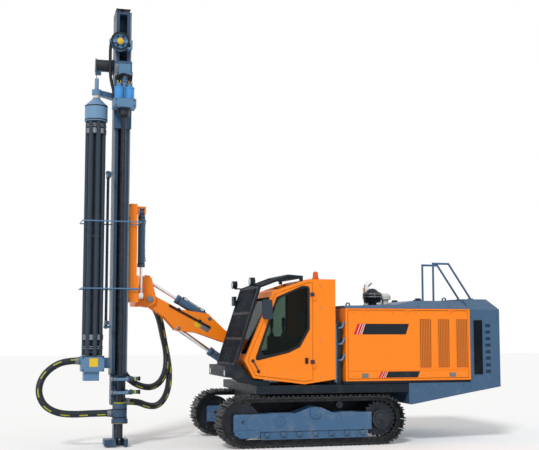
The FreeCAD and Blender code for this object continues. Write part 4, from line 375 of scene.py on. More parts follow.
def hose_tube(name, line, radius):
    """A ribbed tube. Its map holds the turn around the hose, 0 on the -Y side, and the metres along it."""
    places = even_places(line, RIB_PITCH / 4)
    mesh = bmesh.new()
    layer = mesh.loops.layers.uv.new("along")
    rings, runs, along = [], [], 0.0
    for i, place in enumerate(places):
        way = (places[min(i + 1, len(places) - 1)] - places[max(i - 1, 0)]).normalized()
        facing = Vector((0, -1, 0))
        across = (facing - way * facing.dot(way)).normalized()
        up = way.cross(across)
        along += (place - places[i - 1]).length if i else 0.0
        r = radius - RIB_DEPTH * (0.5 + 0.5 * cos(tau * along / RIB_PITCH)) * min(1, radius / 0.05)
        rings.append([mesh.verts.new(place + (across * u + up * v) * r) for u, v in circle(HOSE_SIDES)])
        runs.append(along)
    for (one, two), (low, high) in zip(zip(rings, rings[1:]), zip(runs, runs[1:])):
        for k in range(HOSE_SIDES):
            j = (k + 1) % HOSE_SIDES
            face = mesh.faces.new((one[k], one[j], two[j], two[k]))
            for loop, turn, run in zip(face.loops, (k, k + 1, k + 1, k), (low, low, high, high)):
                loop[layer].uv = (turn / HOSE_SIDES, run)
    mesh.faces.new(rings[0])
    mesh.faces.new(rings[-1])
    return settled(mesh, name), places


hoses = {}
for name, line in lines.items():
    piece, places = hose_tube(name + "_tube", line, HOSE_DIAMETER[name] / 2)
    hoses[name] = piece
    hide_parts(name)
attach(hoses["suction_hose"], "mast")
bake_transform(hoses["bundle_hose_front"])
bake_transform(hoses["bundle_hose_rear"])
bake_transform(hoses["head_hose"])
print("hoses", {name: len(piece.data.polygons) for name, piece in hoses.items()})


# %% [markdown]
# ## Stage and light
#
# A machine on a white page needs an even light with one clear direction, so that folds and edges read.
# One sun comes from high on the camera's left, and the world fills the shadows. The world and the floor
# look white to the camera and in reflections, but they give off less light than that, so the paint keeps
# the colour that it was given.

# %% Node helpers
def colour(text):
    """A written colour such as ff8c14 as the linear values that a shader takes."""
    parts = [int(text[i:i + 2], 16) / 255 for i in (0, 2, 4)]
    return [p / 12.92 if p <= 0.04045 else ((p + 0.055) / 1.055) ** 2.4 for p in parts] + [1.0]


class Nodes:
    """Short ways to add and join shader nodes in one tree."""

    def __init__(self, owner):
        owner.use_nodes = True
        self.tree = owner.node_tree
        self.tree.nodes.clear()

    def add(self, kind, **values):
        node = self.tree.nodes.new(kind)
        for key, number in values.items():
            setattr(node, key, number)
        return node

    def join(self, start, end):
        self.tree.links.new(start, end)

    def dress(self, surface, base, rough=None, normal=None):
        """Joins what is given to the colour, roughness and normal of a surface."""
        for key, made in (("Base Color", base), ("Roughness", rough), ("Normal", normal)):
            if made:
                self.join(made, surface.inputs[key])

    def feed(self, socket, given):
        """Puts a number, a colour or another node's output into a socket."""
        if isinstance(given, bpy.types.NodeSocket):
            self.join(given, socket)
        else:
            socket.default_value = given

    def noise(self, place, scale, detail=4.0, rough=0.55, stretch=None):
        if stretch:
            turn = self.add("ShaderNodeMapping")
            self.join(place, turn.inputs["Vector"])
            turn.inputs["Scale"].default_value = stretch
            place = turn.outputs["Vector"]
        made = self.add("ShaderNodeTexNoise")
        self.join(place, made.inputs["Vector"])
        made.inputs["Scale"].default_value = scale
        made.inputs["Detail"].default_value = detail
        made.inputs["Roughness"].default_value = rough
        return made.outputs["Fac"]

    def ramp(self, given, low, high, start=0.0, end=1.0):
        made = self.add("ShaderNodeMapRange", interpolation_type="SMOOTHSTEP")
        self.join(given, made.inputs["Value"])
        made.inputs["From Min"].default_value = low
        made.inputs["From Max"].default_value = high
        made.inputs["To Min"].default_value = start
        made.inputs["To Max"].default_value = end
        return made.outputs["Result"]

    def sum(self, kind, first, second):
        made = self.add("ShaderNodeMath", operation=kind)
        self.feed(made.inputs[0], first)
        self.feed(made.inputs[1], second)
        return made.outputs[0]

    def blend(self, share, first, second):
        made = self.add("ShaderNodeMix", data_type="RGBA")
        self.feed(made.inputs["Factor"], share)
        self.feed(made.inputs[6], first)
        self.feed(made.inputs[7], second)
        return made.outputs[2]

    def bump(self, height, distance, strength=1.0, normal=None):
        made = self.add("ShaderNodeBump")
        self.join(height, made.inputs["Height"])
        made.inputs["Distance"].default_value = distance
        made.inputs["Strength"].default_value = strength
        if normal is not None:
            self.join(normal, made.inputs["Normal"])
        return made.outputs["Normal"]


# %% Floor, world and lamps
bpy.context.scene.view_settings.view_transform = "Standard"
PAGE = (0.94, 0.94, 0.935, 1)
PAGE_DARKER = (0.92, 0.92, 0.915, 1)
PURE_WHITE = (1, 1, 1, 1)
WORLD_LIGHT, WORLD_SEEN = 0.45, 1.0
FLOOR_GLOW = 0.13
FLOOR_HALF = 60

world = bpy.data.worlds.new("studio")
bpy.context.scene.world = world
sky = Nodes(world)
path = sky.add("ShaderNodeLightPath")
seen = sky.sum("MAXIMUM", path.outputs["Is Camera Ray"], path.outputs["Is Glossy Ray"])
seen = sky.sum("MAXIMUM", seen, path.outputs["Is Transmission Ray"])
glow = sky.add("ShaderNodeBackground")
glow.inputs["Color"].default_value = PURE_WHITE
sky.join(sky.ramp(seen, 0.0, 1.0, WORLD_LIGHT, WORLD_SEEN), glow.inputs["Strength"])
sky.join(glow.outputs[0], sky.add("ShaderNodeOutputWorld").inputs["Surface"])

floor_mesh = bpy.data.meshes.new("floor")
floor_corners = [(a * FLOOR_HALF, b * FLOOR_HALF, 0) for a, b in ((-1, -1), (1, -1), (1, 1), (-1, 1))]
floor_mesh.from_pydata(floor_corners, [], [(0, 1, 2, 3)])
floor = bpy.data.objects.new("floor", floor_mesh)
floor.location.z = -0.001
bpy.context.scene.collection.objects.link(floor)
floor_paint = bpy.data.materials.new("floor")
page = Nodes(floor_paint)
matt = page.add("ShaderNodeBsdfDiffuse")
grain = page.noise(page.add("ShaderNodeTexCoord").outputs["Object"], 3.0)
page.join(page.blend(grain, PAGE_DARKER, PAGE), matt.inputs["Color"])
lift = page.add("ShaderNodeEmission")
lift.inputs["Color"].default_value = PURE_WHITE
lift.inputs["Strength"].default_value = FLOOR_GLOW
both = page.add("ShaderNodeAddShader")
page.join(matt.outputs[0], both.inputs[0])
page.join(lift.outputs[0], both.inputs[1])
page.join(both.outputs[0], page.add("ShaderNodeOutputMaterial").inputs["Surface"])
floor_mesh.materials.append(floor_paint)


MIDDLE = (-0.2, 0.0, 2.0)


def lamp(name, place, energy, angle):
    """A sun that stands at place and points at the machine's middle."""
    data = bpy.data.lights.new(name, "SUN")
    data.energy = energy
    data.angle = angle
    made = bpy.data.objects.new(name, data)
    made.location = place
    made.rotation_euler = (Vector(MIDDLE) - Vector(place)).to_track_quat("-Z", "Y").to_euler()
    bpy.context.scene.collection.objects.link(made)


lamp("sun", (-9, -14, 15), 1.75, radians(12))
lamp("fill_rear", (12, 8, 9), 0.55, radians(25))


# %% [markdown]
# ## Paint
#
# The panels of the real machine are sprayed steel: one even colour, slightly uneven from close up, a
# little duller low down where dust settles, and worn through at edges that are knocked. A shader can find
# those edges by comparing the surface with a rounded copy of itself. The same function makes every
# painted finish, and each use says how glossy, dusty and worn that paint is.

# %% Paint function
def place_of(nodes):
    return nodes.add("ShaderNodeTexCoord").outputs["Object"]


def edge_share(nodes, radius):
    """How close a point is to a corner of the solid: 0 on a flat face, 1 on the corner."""
    rounded = nodes.add("ShaderNodeBevel", samples=4)
    rounded.inputs["Radius"].default_value = radius
    flat = nodes.add("ShaderNodeNewGeometry")
    dot = nodes.add("ShaderNodeVectorMath", operation="DOT_PRODUCT")
    nodes.join(rounded.outputs["Normal"], dot.inputs[0])
    nodes.join(flat.outputs["Normal"], dot.inputs[1])
    return nodes.ramp(dot.outputs["Value"], 0.995, 0.80), rounded.outputs["Normal"]


def scaled(tone, by):
    """A colour made darker or lighter by a factor."""
    return [min(1, c * by) for c in tone[:3]] + [1]


def shader(name, **constants):
    material = bpy.data.materials.new(name)
    nodes = Nodes(material)
    surface = nodes.add("ShaderNodeBsdfPrincipled")
    for key, number in constants.items():
        surface.inputs[key.replace("_", " ")].default_value = number
    nodes.join(surface.outputs[0], nodes.add("ShaderNodeOutputMaterial").inputs["Surface"])
    return material, nodes, surface


DUST = colour("9c968c")
BARE = colour("6b6e72")


def paint(name, tone, rough=0.35, wear=0.35, dust=0.25, edge=0.008, gloss=0.3, shift=0.07, parted=None):
    """Sprayed paint: tone varies softly, dust lies low down and in patches, corners are rubbed.

    parted = (axis, place, tone) gives another tone to what lies below that place, such as the mirror and the
    handle that stand out from a door."""
    material, nodes, surface = shader(name, Specular_IOR_Level=gloss)
    place = place_of(nodes)
    body = colour(tone)
    base = nodes.blend(nodes.noise(place, 1.7, 3.0), scaled(body, 1 - 2.2 * shift),
                       scaled(body, 1 + 1.2 * shift))
    height = nodes.add("ShaderNodeSeparateXYZ")
    nodes.join(place, height.inputs[0])
    if parted:
        axis, border, other = parted
        base = nodes.blend(nodes.sum("LESS_THAN", height.outputs[axis], border), base, colour(other))
    low = nodes.ramp(height.outputs["Z"], 2.4, 0.1)
    patch = nodes.ramp(nodes.noise(place, 6.0, 8.0, 0.65), 0.48, 0.75)
    share = nodes.sum("MULTIPLY", nodes.sum("MULTIPLY", low, patch), dust)
    base = nodes.blend(share, base, DUST)
    edges, rounded = edge_share(nodes, edge)
    rub = nodes.ramp(nodes.noise(place, 38.0, 6.0, 0.7), 0.45, 0.62)
    worn = nodes.sum("MULTIPLY", nodes.sum("MULTIPLY", edges, rub), wear)
    nodes.join(nodes.blend(worn, base, BARE), surface.inputs["Base Color"])
    spots = nodes.noise(place, 11.0, 5.0)
    uneven = nodes.ramp(spots, 0.3, 0.7, rough - 0.05, rough + 0.08)
    nodes.join(nodes.sum("ADD", uneven, nodes.sum("MULTIPLY", share, 0.5)), surface.inputs["Roughness"])
    skin = nodes.noise(place, 240.0, 2.0)
    nodes.join(nodes.bump(skin, 0.0006, 0.35, rounded), surface.inputs["Normal"])
    return material


ORANGE = paint("orange_paint", "fb8610", rough=0.34, wear=0.12, dust=0.10, gloss=0.35, shift=0.02)
STEEL_BLUE = paint("track_frame_paint", "42668a", rough=0.42, wear=0.4, dust=0.3)
DEEP_BLUE = paint("rear_blue_paint", "3f5f7e", rough=0.42, wear=0.3, dust=0.18)
MAST_BLUE = paint("mast_paint", "2f4a66", rough=0.38, wear=0.4, dust=0.2)
PALE_BLUE = paint("pale_blue_paint", "5d83a6", rough=0.42, wear=0.3, dust=0.15)
BRIGHT_BLUE = paint("motor_paint", "4795d6", rough=0.35, wear=0.3, dust=0.1)
BLACK = paint("black_paint", "16202a", rough=0.45, wear=0.25, dust=0.12, gloss=0.2)
PALE = paint("pale_paint", "d6d4cc", rough=0.5, wear=0.2, dust=0.2)
LIME = paint("yellow_green_paint", "b9b92c", rough=0.5, wear=0.4, dust=0.3)
RED = paint("red_stripe", "d8232a", rough=0.4, wear=0.1, dust=0.1)
WHITE = paint("white_stripe", "f2f0ec", rough=0.4, wear=0.1, dust=0.1)
YELLOW = paint("sign_yellow", "e6bf2a", rough=0.45, wear=0.2, dust=0.1)
DOOR_PAINT = paint("cab_door_paint", "fb8610", rough=0.34, wear=0.12, dust=0.10, gloss=0.35, shift=0.02,
                   parted=("Y", -1.161, "26323e"))
DRUM_PAINT = paint("rod_magazine_paint", "6f93b4", wear=0.4, dust=0.1, parted=("Z", 5.018, "2c3947"))
print("materials so far", len(bpy.data.materials))


# %% [markdown]
# ## Steel, chrome, rubber and glass
#
# Track shoes are forged steel that is never painted for long: nearly black, polished pale where they meet
# the ground and dusty between. Cylinder rods are chromed and clean. Rubber hoses are dull with a fine
# rib, and the cab's panes are tinted green-grey, so one looks through them at the seat.

# %% Metal, rubber, glass and cloth
def steel(name, tone, rough, metal, wear, dust, edge=0.006):
    material, nodes, surface = shader(name, Metallic=metal)
    place = place_of(nodes)
    body = colour(tone)
    base = nodes.blend(nodes.noise(place, 9.0, 8.0, 0.65), scaled(body, 0.55), body)
    share = nodes.sum("MULTIPLY", nodes.ramp(nodes.noise(place, 14.0, 8.0, 0.7), 0.42, 0.72), dust)
    base = nodes.blend(share, base, colour("7d776c"))
    edges, rounded = edge_share(nodes, edge)
    pits = nodes.noise(place, 130.0, 5.0, 0.7)
    nodes.dress(surface, nodes.blend(nodes.sum("MULTIPLY", edges, wear), base, colour("a8abad")),
                nodes.ramp(nodes.noise(place, 30.0, 5.0), 0.3, 0.7, rough - 0.08, rough + 0.12),
                nodes.bump(pits, 0.0012, 0.5, rounded))
    return material


def chrome(name):
    material, nodes, surface = shader(name, Metallic=1.0)
    place = place_of(nodes)
    fine = nodes.noise(place, 60.0, 3.0, 0.5, stretch=(1.0, 1.0, 14.0))
    nodes.dress(surface, nodes.blend(fine, colour("cfd3d6"), colour("eef0f1")),
                nodes.ramp(fine, 0.3, 0.7, 0.12, 0.24), nodes.bump(fine, 0.0003, 0.3))
    return material


def rubber(name, tone="15191e"):
    material, nodes, surface = shader(name, Specular_IOR_Level=0.25)
    place = place_of(nodes)
    body = colour(tone)
    dusty = nodes.ramp(nodes.noise(place, 12.0, 6.0, 0.65), 0.5, 0.8, 0.0, 0.35)
    grain = nodes.noise(place, 320.0, 3.0)
    nodes.dress(surface, nodes.blend(dusty, body, colour("4a4844")),
                nodes.ramp(nodes.noise(place, 25.0), 0.3, 0.7, 0.5, 0.72), nodes.bump(grain, 0.0006, 0.5))
    return material


def cab_glass(name):
    material = bpy.data.materials.new(name)
    nodes = Nodes(material)
    place = place_of(nodes)
    smear = nodes.ramp(nodes.noise(place, 5.0, 6.0, 0.6), 0.35, 0.8, 0.0, 0.25)
    clear = nodes.add("ShaderNodeBsdfTransparent")
    nodes.join(nodes.blend(smear, colour("c3d0c8"), colour("cfd8d2")), clear.inputs["Color"])
    gloss = nodes.add("ShaderNodeBsdfPrincipled")
    nodes.join(nodes.blend(smear, colour("24302f"), colour("3a4543")), gloss.inputs["Base Color"])
    nodes.join(nodes.ramp(smear, 0.0, 0.25, 0.03, 0.12), gloss.inputs["Roughness"])
    gloss.inputs["IOR"].default_value = 1.5
    fresnel = nodes.add("ShaderNodeFresnel")
    fresnel.inputs["IOR"].default_value = 1.5
    share = nodes.sum("ADD", nodes.sum("MULTIPLY", fresnel.outputs[0], 0.8), 0.10)
    mixed = nodes.add("ShaderNodeMixShader")
    nodes.join(share, mixed.inputs[0])
    nodes.join(clear.outputs[0], mixed.inputs[1])
    nodes.join(gloss.outputs[0], mixed.inputs[2])
    nodes.join(mixed.outputs[0], nodes.add("ShaderNodeOutputMaterial").inputs["Surface"])
    return material


def cloth(name, tone):
    material, nodes, surface = shader(name, Roughness=0.9, Sheen_Weight=0.4)
    place = place_of(nodes)
    weave = nodes.add("ShaderNodeTexChecker")
    nodes.join(place, weave.inputs["Vector"])
    weave.inputs["Scale"].default_value = 330.0
    body = colour(tone)
    weave.inputs["Color1"].default_value = body
    weave.inputs["Color2"].default_value = scaled(body, 1.8)
    soft = nodes.noise(place, 7.0)
    nodes.join(nodes.blend(nodes.ramp(soft, 0.3, 0.8, 0.0, 0.4), weave.outputs["Color"], colour("3c3d42")),
               surface.inputs["Base Color"])
    nodes.join(nodes.bump(weave.outputs["Fac"], 0.0008, 0.6), surface.inputs["Normal"])
    return material


def moulded(name, tone, rough=0.55):
    material, nodes, surface = shader(name)
    place = place_of(nodes)
    body = colour(tone)
    nodes.dress(surface, nodes.blend(nodes.noise(place, 4.0), body, scaled(body, 1.25)),
                nodes.ramp(nodes.noise(place, 30.0), 0.3, 0.7, rough - 0.06, rough + 0.08),
                nodes.bump(nodes.noise(place, 420.0, 2.0), 0.0005, 0.5))
    return material


TRACK_STEEL = steel("track_steel", "262c32", 0.5, 0.55, 0.3, 0.2)
DARK_STEEL = steel("dark_steel", "2a333d", 0.42, 0.6, 0.3, 0.1)
IRON = steel("plain_steel", "8b9094", 0.38, 0.9, 0.4, 0.2)
BRASS = steel("brass_fittings", "a8842e", 0.35, 0.9, 0.4, 0.1)
BRIGHT = chrome("bright_rod")
RUBBER = rubber("hose_rubber")
GLASS = cab_glass("tinted_glass")
CLOTH = cloth("seat_cloth", "1b1c20")
GREY_PLASTIC = moulded("grey_plastic", "33363b")


def hose_rubber(name, tone, dash):
    """Ribbed rubber. The hose's map gives the turn around it and the metres along it, for the dashes."""
    material, nodes, surface = shader(name, Specular_IOR_Level=0.3)
    place = place_of(nodes)
    parts = nodes.add("ShaderNodeSeparateXYZ")
    nodes.join(nodes.add("ShaderNodeUVMap", uv_map="along").outputs[0], parts.inputs[0])
    turn, along = parts.outputs["X"], parts.outputs["Y"]
    beat = nodes.sum("FRACT", nodes.sum("MULTIPLY", along, 1 / DASH_PITCH), 0.0)
    on = nodes.sum("MULTIPLY", nodes.sum("LESS_THAN", beat, DASH_LENGTH / DASH_PITCH), dash)
    near = nodes.sum("LESS_THAN", nodes.sum("ABSOLUTE", nodes.sum("SUBTRACT", turn, DASH_TURN), 0.0),
                     DASH_HALF)
    worn = nodes.ramp(nodes.noise(place, 40.0, 6.0, 0.7), 0.3, 0.5)
    mark = nodes.sum("MULTIPLY", nodes.sum("MULTIPLY", on, near), worn)
    body = colour(tone)
    dusty = nodes.ramp(nodes.noise(place, 9.0, 6.0, 0.65), 0.5, 0.85, 0.0, 0.3)
    base = nodes.blend(dusty, body, colour("3c444c"))
    nodes.dress(surface, nodes.blend(mark, base, colour("adac2c")),
                nodes.ramp(nodes.noise(place, 25.0), 0.3, 0.7, 0.38, 0.6),
                nodes.bump(nodes.noise(place, 300.0, 3.0), 0.0005, 0.4))
    return material


DASH_PITCH = 0.27
DASH_LENGTH = 0.13
DASH_TURN = 0.06
DASH_HALF = 0.032
HOSE_RUBBER = hose_rubber("ribbed_hose", "1c242e", 1.0)
THIN_RUBBER = hose_rubber("thin_hose", "14191f", 0.0)
THIN_DARK = rubber("link_hose", "12161b")
for name, piece in hoses.items():
    piece.data.materials.append(THIN_RUBBER if name == "head_hose" else HOSE_RUBBER)

AMBER, nodes, surface = shader("amber_lens", Transmission_Weight=0.35, IOR=1.45)
bands = nodes.add("ShaderNodeTexWave", bands_direction="Z")
nodes.join(place_of(nodes), bands.inputs["Vector"])
bands.inputs["Scale"].default_value = 40.0
nodes.dress(surface, nodes.blend(bands.outputs["Fac"], colour("e0560a"), colour("f07a18")),
            nodes.ramp(bands.outputs["Fac"], 0.0, 1.0, 0.12, 0.25))
LENS, nodes, surface = shader("lamp_lens", IOR=1.45)
cells = nodes.add("ShaderNodeTexVoronoi")
nodes.join(place_of(nodes), cells.inputs["Vector"])
cells.inputs["Scale"].default_value = 60.0
nodes.dress(surface, nodes.blend(cells.outputs["Distance"], colour("dfe6e6"), colour("aab4b6")),
            nodes.ramp(cells.outputs["Distance"], 0.0, 0.6, 0.08, 0.2),
            nodes.bump(cells.outputs["Distance"], 0.0015, 0.6))
print("materials", len(bpy.data.materials))


# %% [markdown]
# ## Dressing the solids
#
# Most solids already have the right shape, so each only needs its finish. The record's own slot of each
# solid says which finish that is, and a few pieces that the maker paints differently are named one by
# one.

# %% Finishes for the solids
FINISH = {
    "orange": ORANGE, "steel_blue": STEEL_BLUE, "deep_blue": DEEP_BLUE, "mast_blue": MAST_BLUE,
    "pale_blue": PALE_BLUE, "black": BLACK, "track_steel": TRACK_STEEL, "bright_rod": BRIGHT,
    "dark_steel": DARK_STEEL, "glass": GLASS, "rubber": RUBBER, "seat_cloth": CLOTH, "amber": AMBER,
    "grey_plastic": GREY_PLASTIC, "pale": PALE,
}
BY_NAME = {"cab_door": DOOR_PAINT, "rod_magazine": DRUM_PAINT}
slot_of = {row["node"]: row["material_slot"] for row in frame["record"]["subparts"]}
for name, piece in frame["nodes"].items():
    piece.data.materials.clear()
    piece.data.materials.append(BY_NAME.get(name, FINISH[slot_of[name]]))
print("dressed", len(frame["nodes"]))


# %% [markdown]
# ## Engine housing
#
# Each side of the housing is one tall door of pressed sheet. It has a crease low down, two pull latches,
# three perforated panels over the radiators and a stripe with a blank plate. The holes are cut as real
# holes in a thin sheet, because light falls through them at a slant, which a painted pattern can't show.
# Just behind the holes lies a black sheet: painted shade for the dark inside of the housing.

# %% Perforated sheet
def perforated(work, low, high, y, out, pitch=0.029, hole=0.0112, thick=0.003):
    """A sheet of staggered round holes between two (x, z) corners, at y, thick towards out."""
    columns = round((high[0] - low[0]) / pitch)
    rows = round((high[1] - low[1]) / pitch)
    wide, tall = (high[0] - low[0]) / columns, (high[1] - low[1]) / rows
    around = [(-1, -1), (0, -1), (1, -1), (1, 0), (1, 1), (0, 1), (-1, 1), (-1, 0)]
    angles = [radians(225 + 45 * k) for k in range(8)]
    for column in range(columns):
        for row in range(rows):
            x, z = low[0] + wide * (column + 0.5), low[1] + tall * (row + 0.5)
            lift = tall * 0.17 * (1 if column % 2 else -1)
            edge = [(x + a * wide / 2, y + out * thick, z + b * tall / 2) for a, b in around]
            front = [(x + cos(a) * hole, y + out * thick, z + lift + sin(a) * hole) for a in angles]
            back = [(p[0], y, p[2]) for p in front]
            work.rings([edge, front, back], caps=False)
    return columns * rows


# %% Side doors: grilles, crease and latches
DOOR_FACE = 1.152
GRILLE_LOW, GRILLE_HIGH, GRILLE_MARGIN = 1.185, 1.935, 0.012
GRILLES = ((1.768, 1.944), (2.085, 2.261), (2.402, 2.578))
for side, hand in SIDES:
    body = f"engine_door_{hand}"
    face = side * (DOOR_FACE + 0.0005)
    sheet, trim, latch, dark = works(4)
    holes = 0
    for left, right in GRILLES:
        low = (left - GRILLE_MARGIN, GRILLE_LOW - GRILLE_MARGIN)
        high = (right + GRILLE_MARGIN, GRILLE_HIGH + GRILLE_MARGIN)
        holes += perforated(sheet, low, high, face + side * 0.0012, side)
        rim = rounded(corners(low, high), 0.02)
        trim.strip(rim, lambda u, v, w: (u, face + side * (0.003 + w), v), 0.012, 0.006)
        # Painted shade: a black sheet just behind the grille's holes stands in for the dark inside of the
        # housing.
        inside, outside = sorted((face, face + side * 0.001))
        dark.box((low[0], inside, low[1]), (high[0], outside, high[1]))
    trim.box((0.575, face - side * 0.001, 1.131), (2.580, face + side * 0.004, 1.139))
    edge = rounded(corners((0.557, 1.022), (2.593, 2.073)), 0.03)
    trim.strip(edge, lambda u, v, w: (u, face + side * w, v), 0.010, 0.005)
    for x in (0.640, 1.300, 1.700, 2.000, 2.320, 2.560):
        trim.bolt((x, face, 2.045), (0, side, 0), 0.009)
    for x in (0.830, 2.320):
        dish = rounded(corners((x - 0.055, 1.030), (x + 0.055, 1.096)), 0.012)
        latch.slab([(u, face, v) for u, v in dish], (0, side, 0), 0.006)
        latch.box((x - 0.035, face + side * 0.006, 1.044), (x + 0.035, face + side * 0.016, 1.082))
        latch.turned((x - 0.02, face, 1.063), (x - 0.02, face + side, 1.063),
                     [(0.005, 0.009), (0.019, 0.009)], 12)
    make_pieces(body, (sheet, f"{body}_grilles", ORANGE, 0), (trim, f"{body}_trim", ORANGE),
                (latch, f"{body}_latches", IRON), (dark, f"{body}_mesh_backs", BLACK))
print("grille holes on a side", holes)


# %% [markdown]
# Stripes and plates are thin stickers in the real machine. Here they are thin sheets with slanted ends, a
# fraction of a millimetre proud of the door, so that they catch the light apart from the paint. The
# plates carry no words.

# %% Stripes and blank plates
def slanted(work, left, right, low, high, lean, y, side, thick=0.0012):
    outline = [(left, low), (right, low), (right + lean, high), (left + lean, high)]
    work.slab([(u, y, v) for u, v in outline], (0, side, 0), thick)


STRIPES = ((0.645, 0.690), (0.700, 0.735), (0.745, 0.765))
SMALL_STRIPES = ((1.050, 1.085), (1.095, 1.125), (1.135, 1.155))
STRIPE_SPAN, SMALL_SPAN = (1.702, 1.868), (1.026, 1.122)
for side, hand in SIDES:
    body = f"engine_door_{hand}"
    y = side * (DOOR_FACE + 0.0004)
    red, white, plates = works(3)
    for left, right in STRIPES:
        slanted(red, left, right, *STRIPE_SPAN, 0.065, y, side)
        slanted(white, right, right + 0.010, *STRIPE_SPAN, 0.065, y, side)
    slanted(plates, 0.785, 1.520, *STRIPE_SPAN, 0.055, y, side)
    for left, right in SMALL_STRIPES:
        slanted(red, left, right, *SMALL_SPAN, 0.05, y, side)
        slanted(white, right, right + 0.008, *SMALL_SPAN, 0.05, y, side)
    slanted(plates, 1.172, 1.715, *SMALL_SPAN, 0.04, y, side)
    make_pieces(body, (red, f"{body}_red_stripes", RED, 0), (white, f"{body}_white_stripes", WHITE, 0),
                (plates, f"{body}_plates", BLACK, 0))
print("stripes", 2 * len(STRIPES + SMALL_STRIPES), "on each side")


# %% Hood: seams, lifting eyes, filler caps and the gap behind the cab
HOOD_TOP, STEP_TOP, STEP_X = 2.150, 2.245, 1.7
hood, caps, gap_pipe, clips = works(4)
for x in (1.180, 1.775, 2.300):
    hood.box((x - 0.006, -1.10, HOOD_TOP), (x + 0.006, 1.10, HOOD_TOP + 0.002))
for y in (-0.60, 0.60):
    for x in (0.75, 2.45):
        eye_z = STEP_TOP if x > STEP_X else HOOD_TOP
        hood.ring((x, y - 0.012, eye_z + 0.03), (x, y + 0.012, eye_z + 0.03), 0.038, 0.020)
for x, y in ((2.05, -0.45), (2.05, 0.55)):
    caps.turned((x, y, STEP_TOP), (x, y, 3), [(0, 0.060), (0.030, 0.060), (0.034, 0.052), (0.045, 0.050)],
                28)
    caps.post(x, y, 0.045, 0.008, 2.290, 2.300)
for z in (1.30, 1.55, 1.80):
    gap_pipe.pipe([(0.425, -1.045, z), (0.425, -1.105, z), (0.480, -1.120, z + 0.02),
                   (0.500, -1.120, z + 0.10)], 0.016)
gap_pipe.pipe([(0.372, -1.075, 0.96), (0.372, -1.085, 1.30), (0.378, -1.080, 1.60), (0.372, -1.060, 1.88)],
              0.022)
for z in (1.05, 1.45, 1.85):
    clips.ring((0.373, -1.078, z - 0.01), (0.373, -1.078, z + 0.01), 0.029, 0.0225)
make_pieces("chassis", (hood, "hood_seams", DEEP_BLUE), (caps, "filler_caps", BLACK),
            (gap_pipe, "gap_pipes", PALE_BLUE, 0), (clips, "gap_clips", IRON, 0))
print("hood pieces", 4)


# %% [markdown]
# Over the hood stand the air cleaner, with a pleated intake, and the short exhaust. The cleaner's body is
# a turned can with two bands; the intake is a ring of fins, which makes the dark ribbed look of the real
# one.

# %% Air cleaner, exhaust and intake lid
CLEANER, EXHAUST, INTAKE = (1.175, -0.600), (1.183, -0.300), (1.427, -0.520)
can, band, fins = works(3)
for z in (2.300, 2.345):
    band.ring((*CLEANER, z), (*CLEANER, z + 0.014), 0.158, 0.150, 40)
for angle in turns(36):
    x, y = CLEANER[0] + cos(angle) * 0.105, CLEANER[1] + sin(angle) * 0.105
    fins.post(x, y, 0.035, 0.004, 2.215, 2.272, ("Z", degrees(angle)))
can.turned((*CLEANER, 2.388), (*CLEANER, 3), [(0, 0.095), (0.020, 0.090), (0.050, 0.050), (0.058, 0.020)],
           32)
for angle in turns(3, 0.4):
    x, y = CLEANER[0] + cos(angle) * 0.150, CLEANER[1] + sin(angle) * 0.150
    band.post(x, y, 0.012, 0.006, 2.285, 2.375, ("Z", degrees(angle)))
make_pieces("chassis", (can, "cleaner_lid", BLACK), (band, "cleaner_bands", IRON),
            (fins, "cleaner_fins", BLACK, 0))
shield = Work()
shield.ring((*EXHAUST, 2.260), (*EXHAUST, 2.470), 0.058, 0.052, 28)
for z in (2.275, 2.450):
    shield.ring((*EXHAUST, z), (*EXHAUST, z + 0.010), 0.0615, 0.051, 28)
shield.done("exhaust_shield", "chassis", BRIGHT)
dial = Work()
dial.turned((*INTAKE, 2.352), (*INTAKE, 3), [(0, 0.070), (0.010, 0.066), (0.020, 0.030)], 28)
dial.ring((*INTAKE, 2.300), (*INTAKE, 2.312), 0.098, 0.090, 36)
dial.done("intake_lid", "chassis", PALE)
print("on the hood", ["air cleaner", "exhaust shield", "intake lid"])


# %% [markdown]
# ## Rear module
#
# The blue end of the machine holds the oil cooler. Its sides have a tall wire mesh and a stack of
# louvres. The mesh is a lattice of fine bars and each louvre is a slanted slat, both set in the openings
# that the solid already has.

# %% Mesh, louvres, seams and lamps at the rear
MODULE_SIDE = 1.152
MESH_LEFT, MESH_WIDE, MESH_LOW, MESH_TALL = 2.694, 0.164, 1.057, 0.876
MESH_COLUMNS, MESH_ROWS, WIRE = 9, 46, 0.0025
LOUVRES, LOUVRE_STEP = 8, 0.105
for side, hand in SIDES:
    mesh, slats, trim = works(3)
    inner, outer = side * (MODULE_SIDE - 0.030), side * (MODULE_SIDE - 0.004)
    for k in range(MESH_COLUMNS):
        x = MESH_LEFT + MESH_WIDE * (k + 0.5) / MESH_COLUMNS
        mesh.box((x - WIRE, min(inner, outer), MESH_LOW),
                 (x + WIRE, max(inner, outer), MESH_LOW + MESH_TALL))
    for row in range(MESH_ROWS):
        z = MESH_LOW + MESH_TALL * (row + 0.5) / MESH_ROWS
        mesh.box((MESH_LEFT, inner - 0.002, z - WIRE), (MESH_LEFT + MESH_WIDE, inner + 0.002, z + WIRE))
    for row in range(LOUVRES):
        z = 1.081 + row * LOUVRE_STEP
        for step in range(2):
            low = z + 0.003 + step * 0.024
            slats.box((2.910, side * (MODULE_SIDE - 0.018) - 0.016, low),
                      (2.995, side * (MODULE_SIDE - 0.018) + 0.016, low + 0.004),
                      ("X", -side * 35))
    rim = rounded(corners((2.690, 1.053), (2.862, 1.937)), 0.012)
    trim.strip(rim, lambda u, v, w: (u, side * (MODULE_SIDE + 0.002) + w, v), 0.014, 0.008)
    for z in (1.02, 1.50, 1.98):
        for x in (2.665, 3.120):
            trim.bolt((x, side * MODULE_SIDE, z), (0, side, 0), 0.010)
    make_pieces("chassis", (mesh, f"rear_mesh_{hand}", BLACK, 0),
                (slats, f"rear_louvres_{hand}", DEEP_BLUE, 0), (trim, f"rear_trim_{hand}", DEEP_BLUE))
back, lenses, fan, guard_bars = works(4)
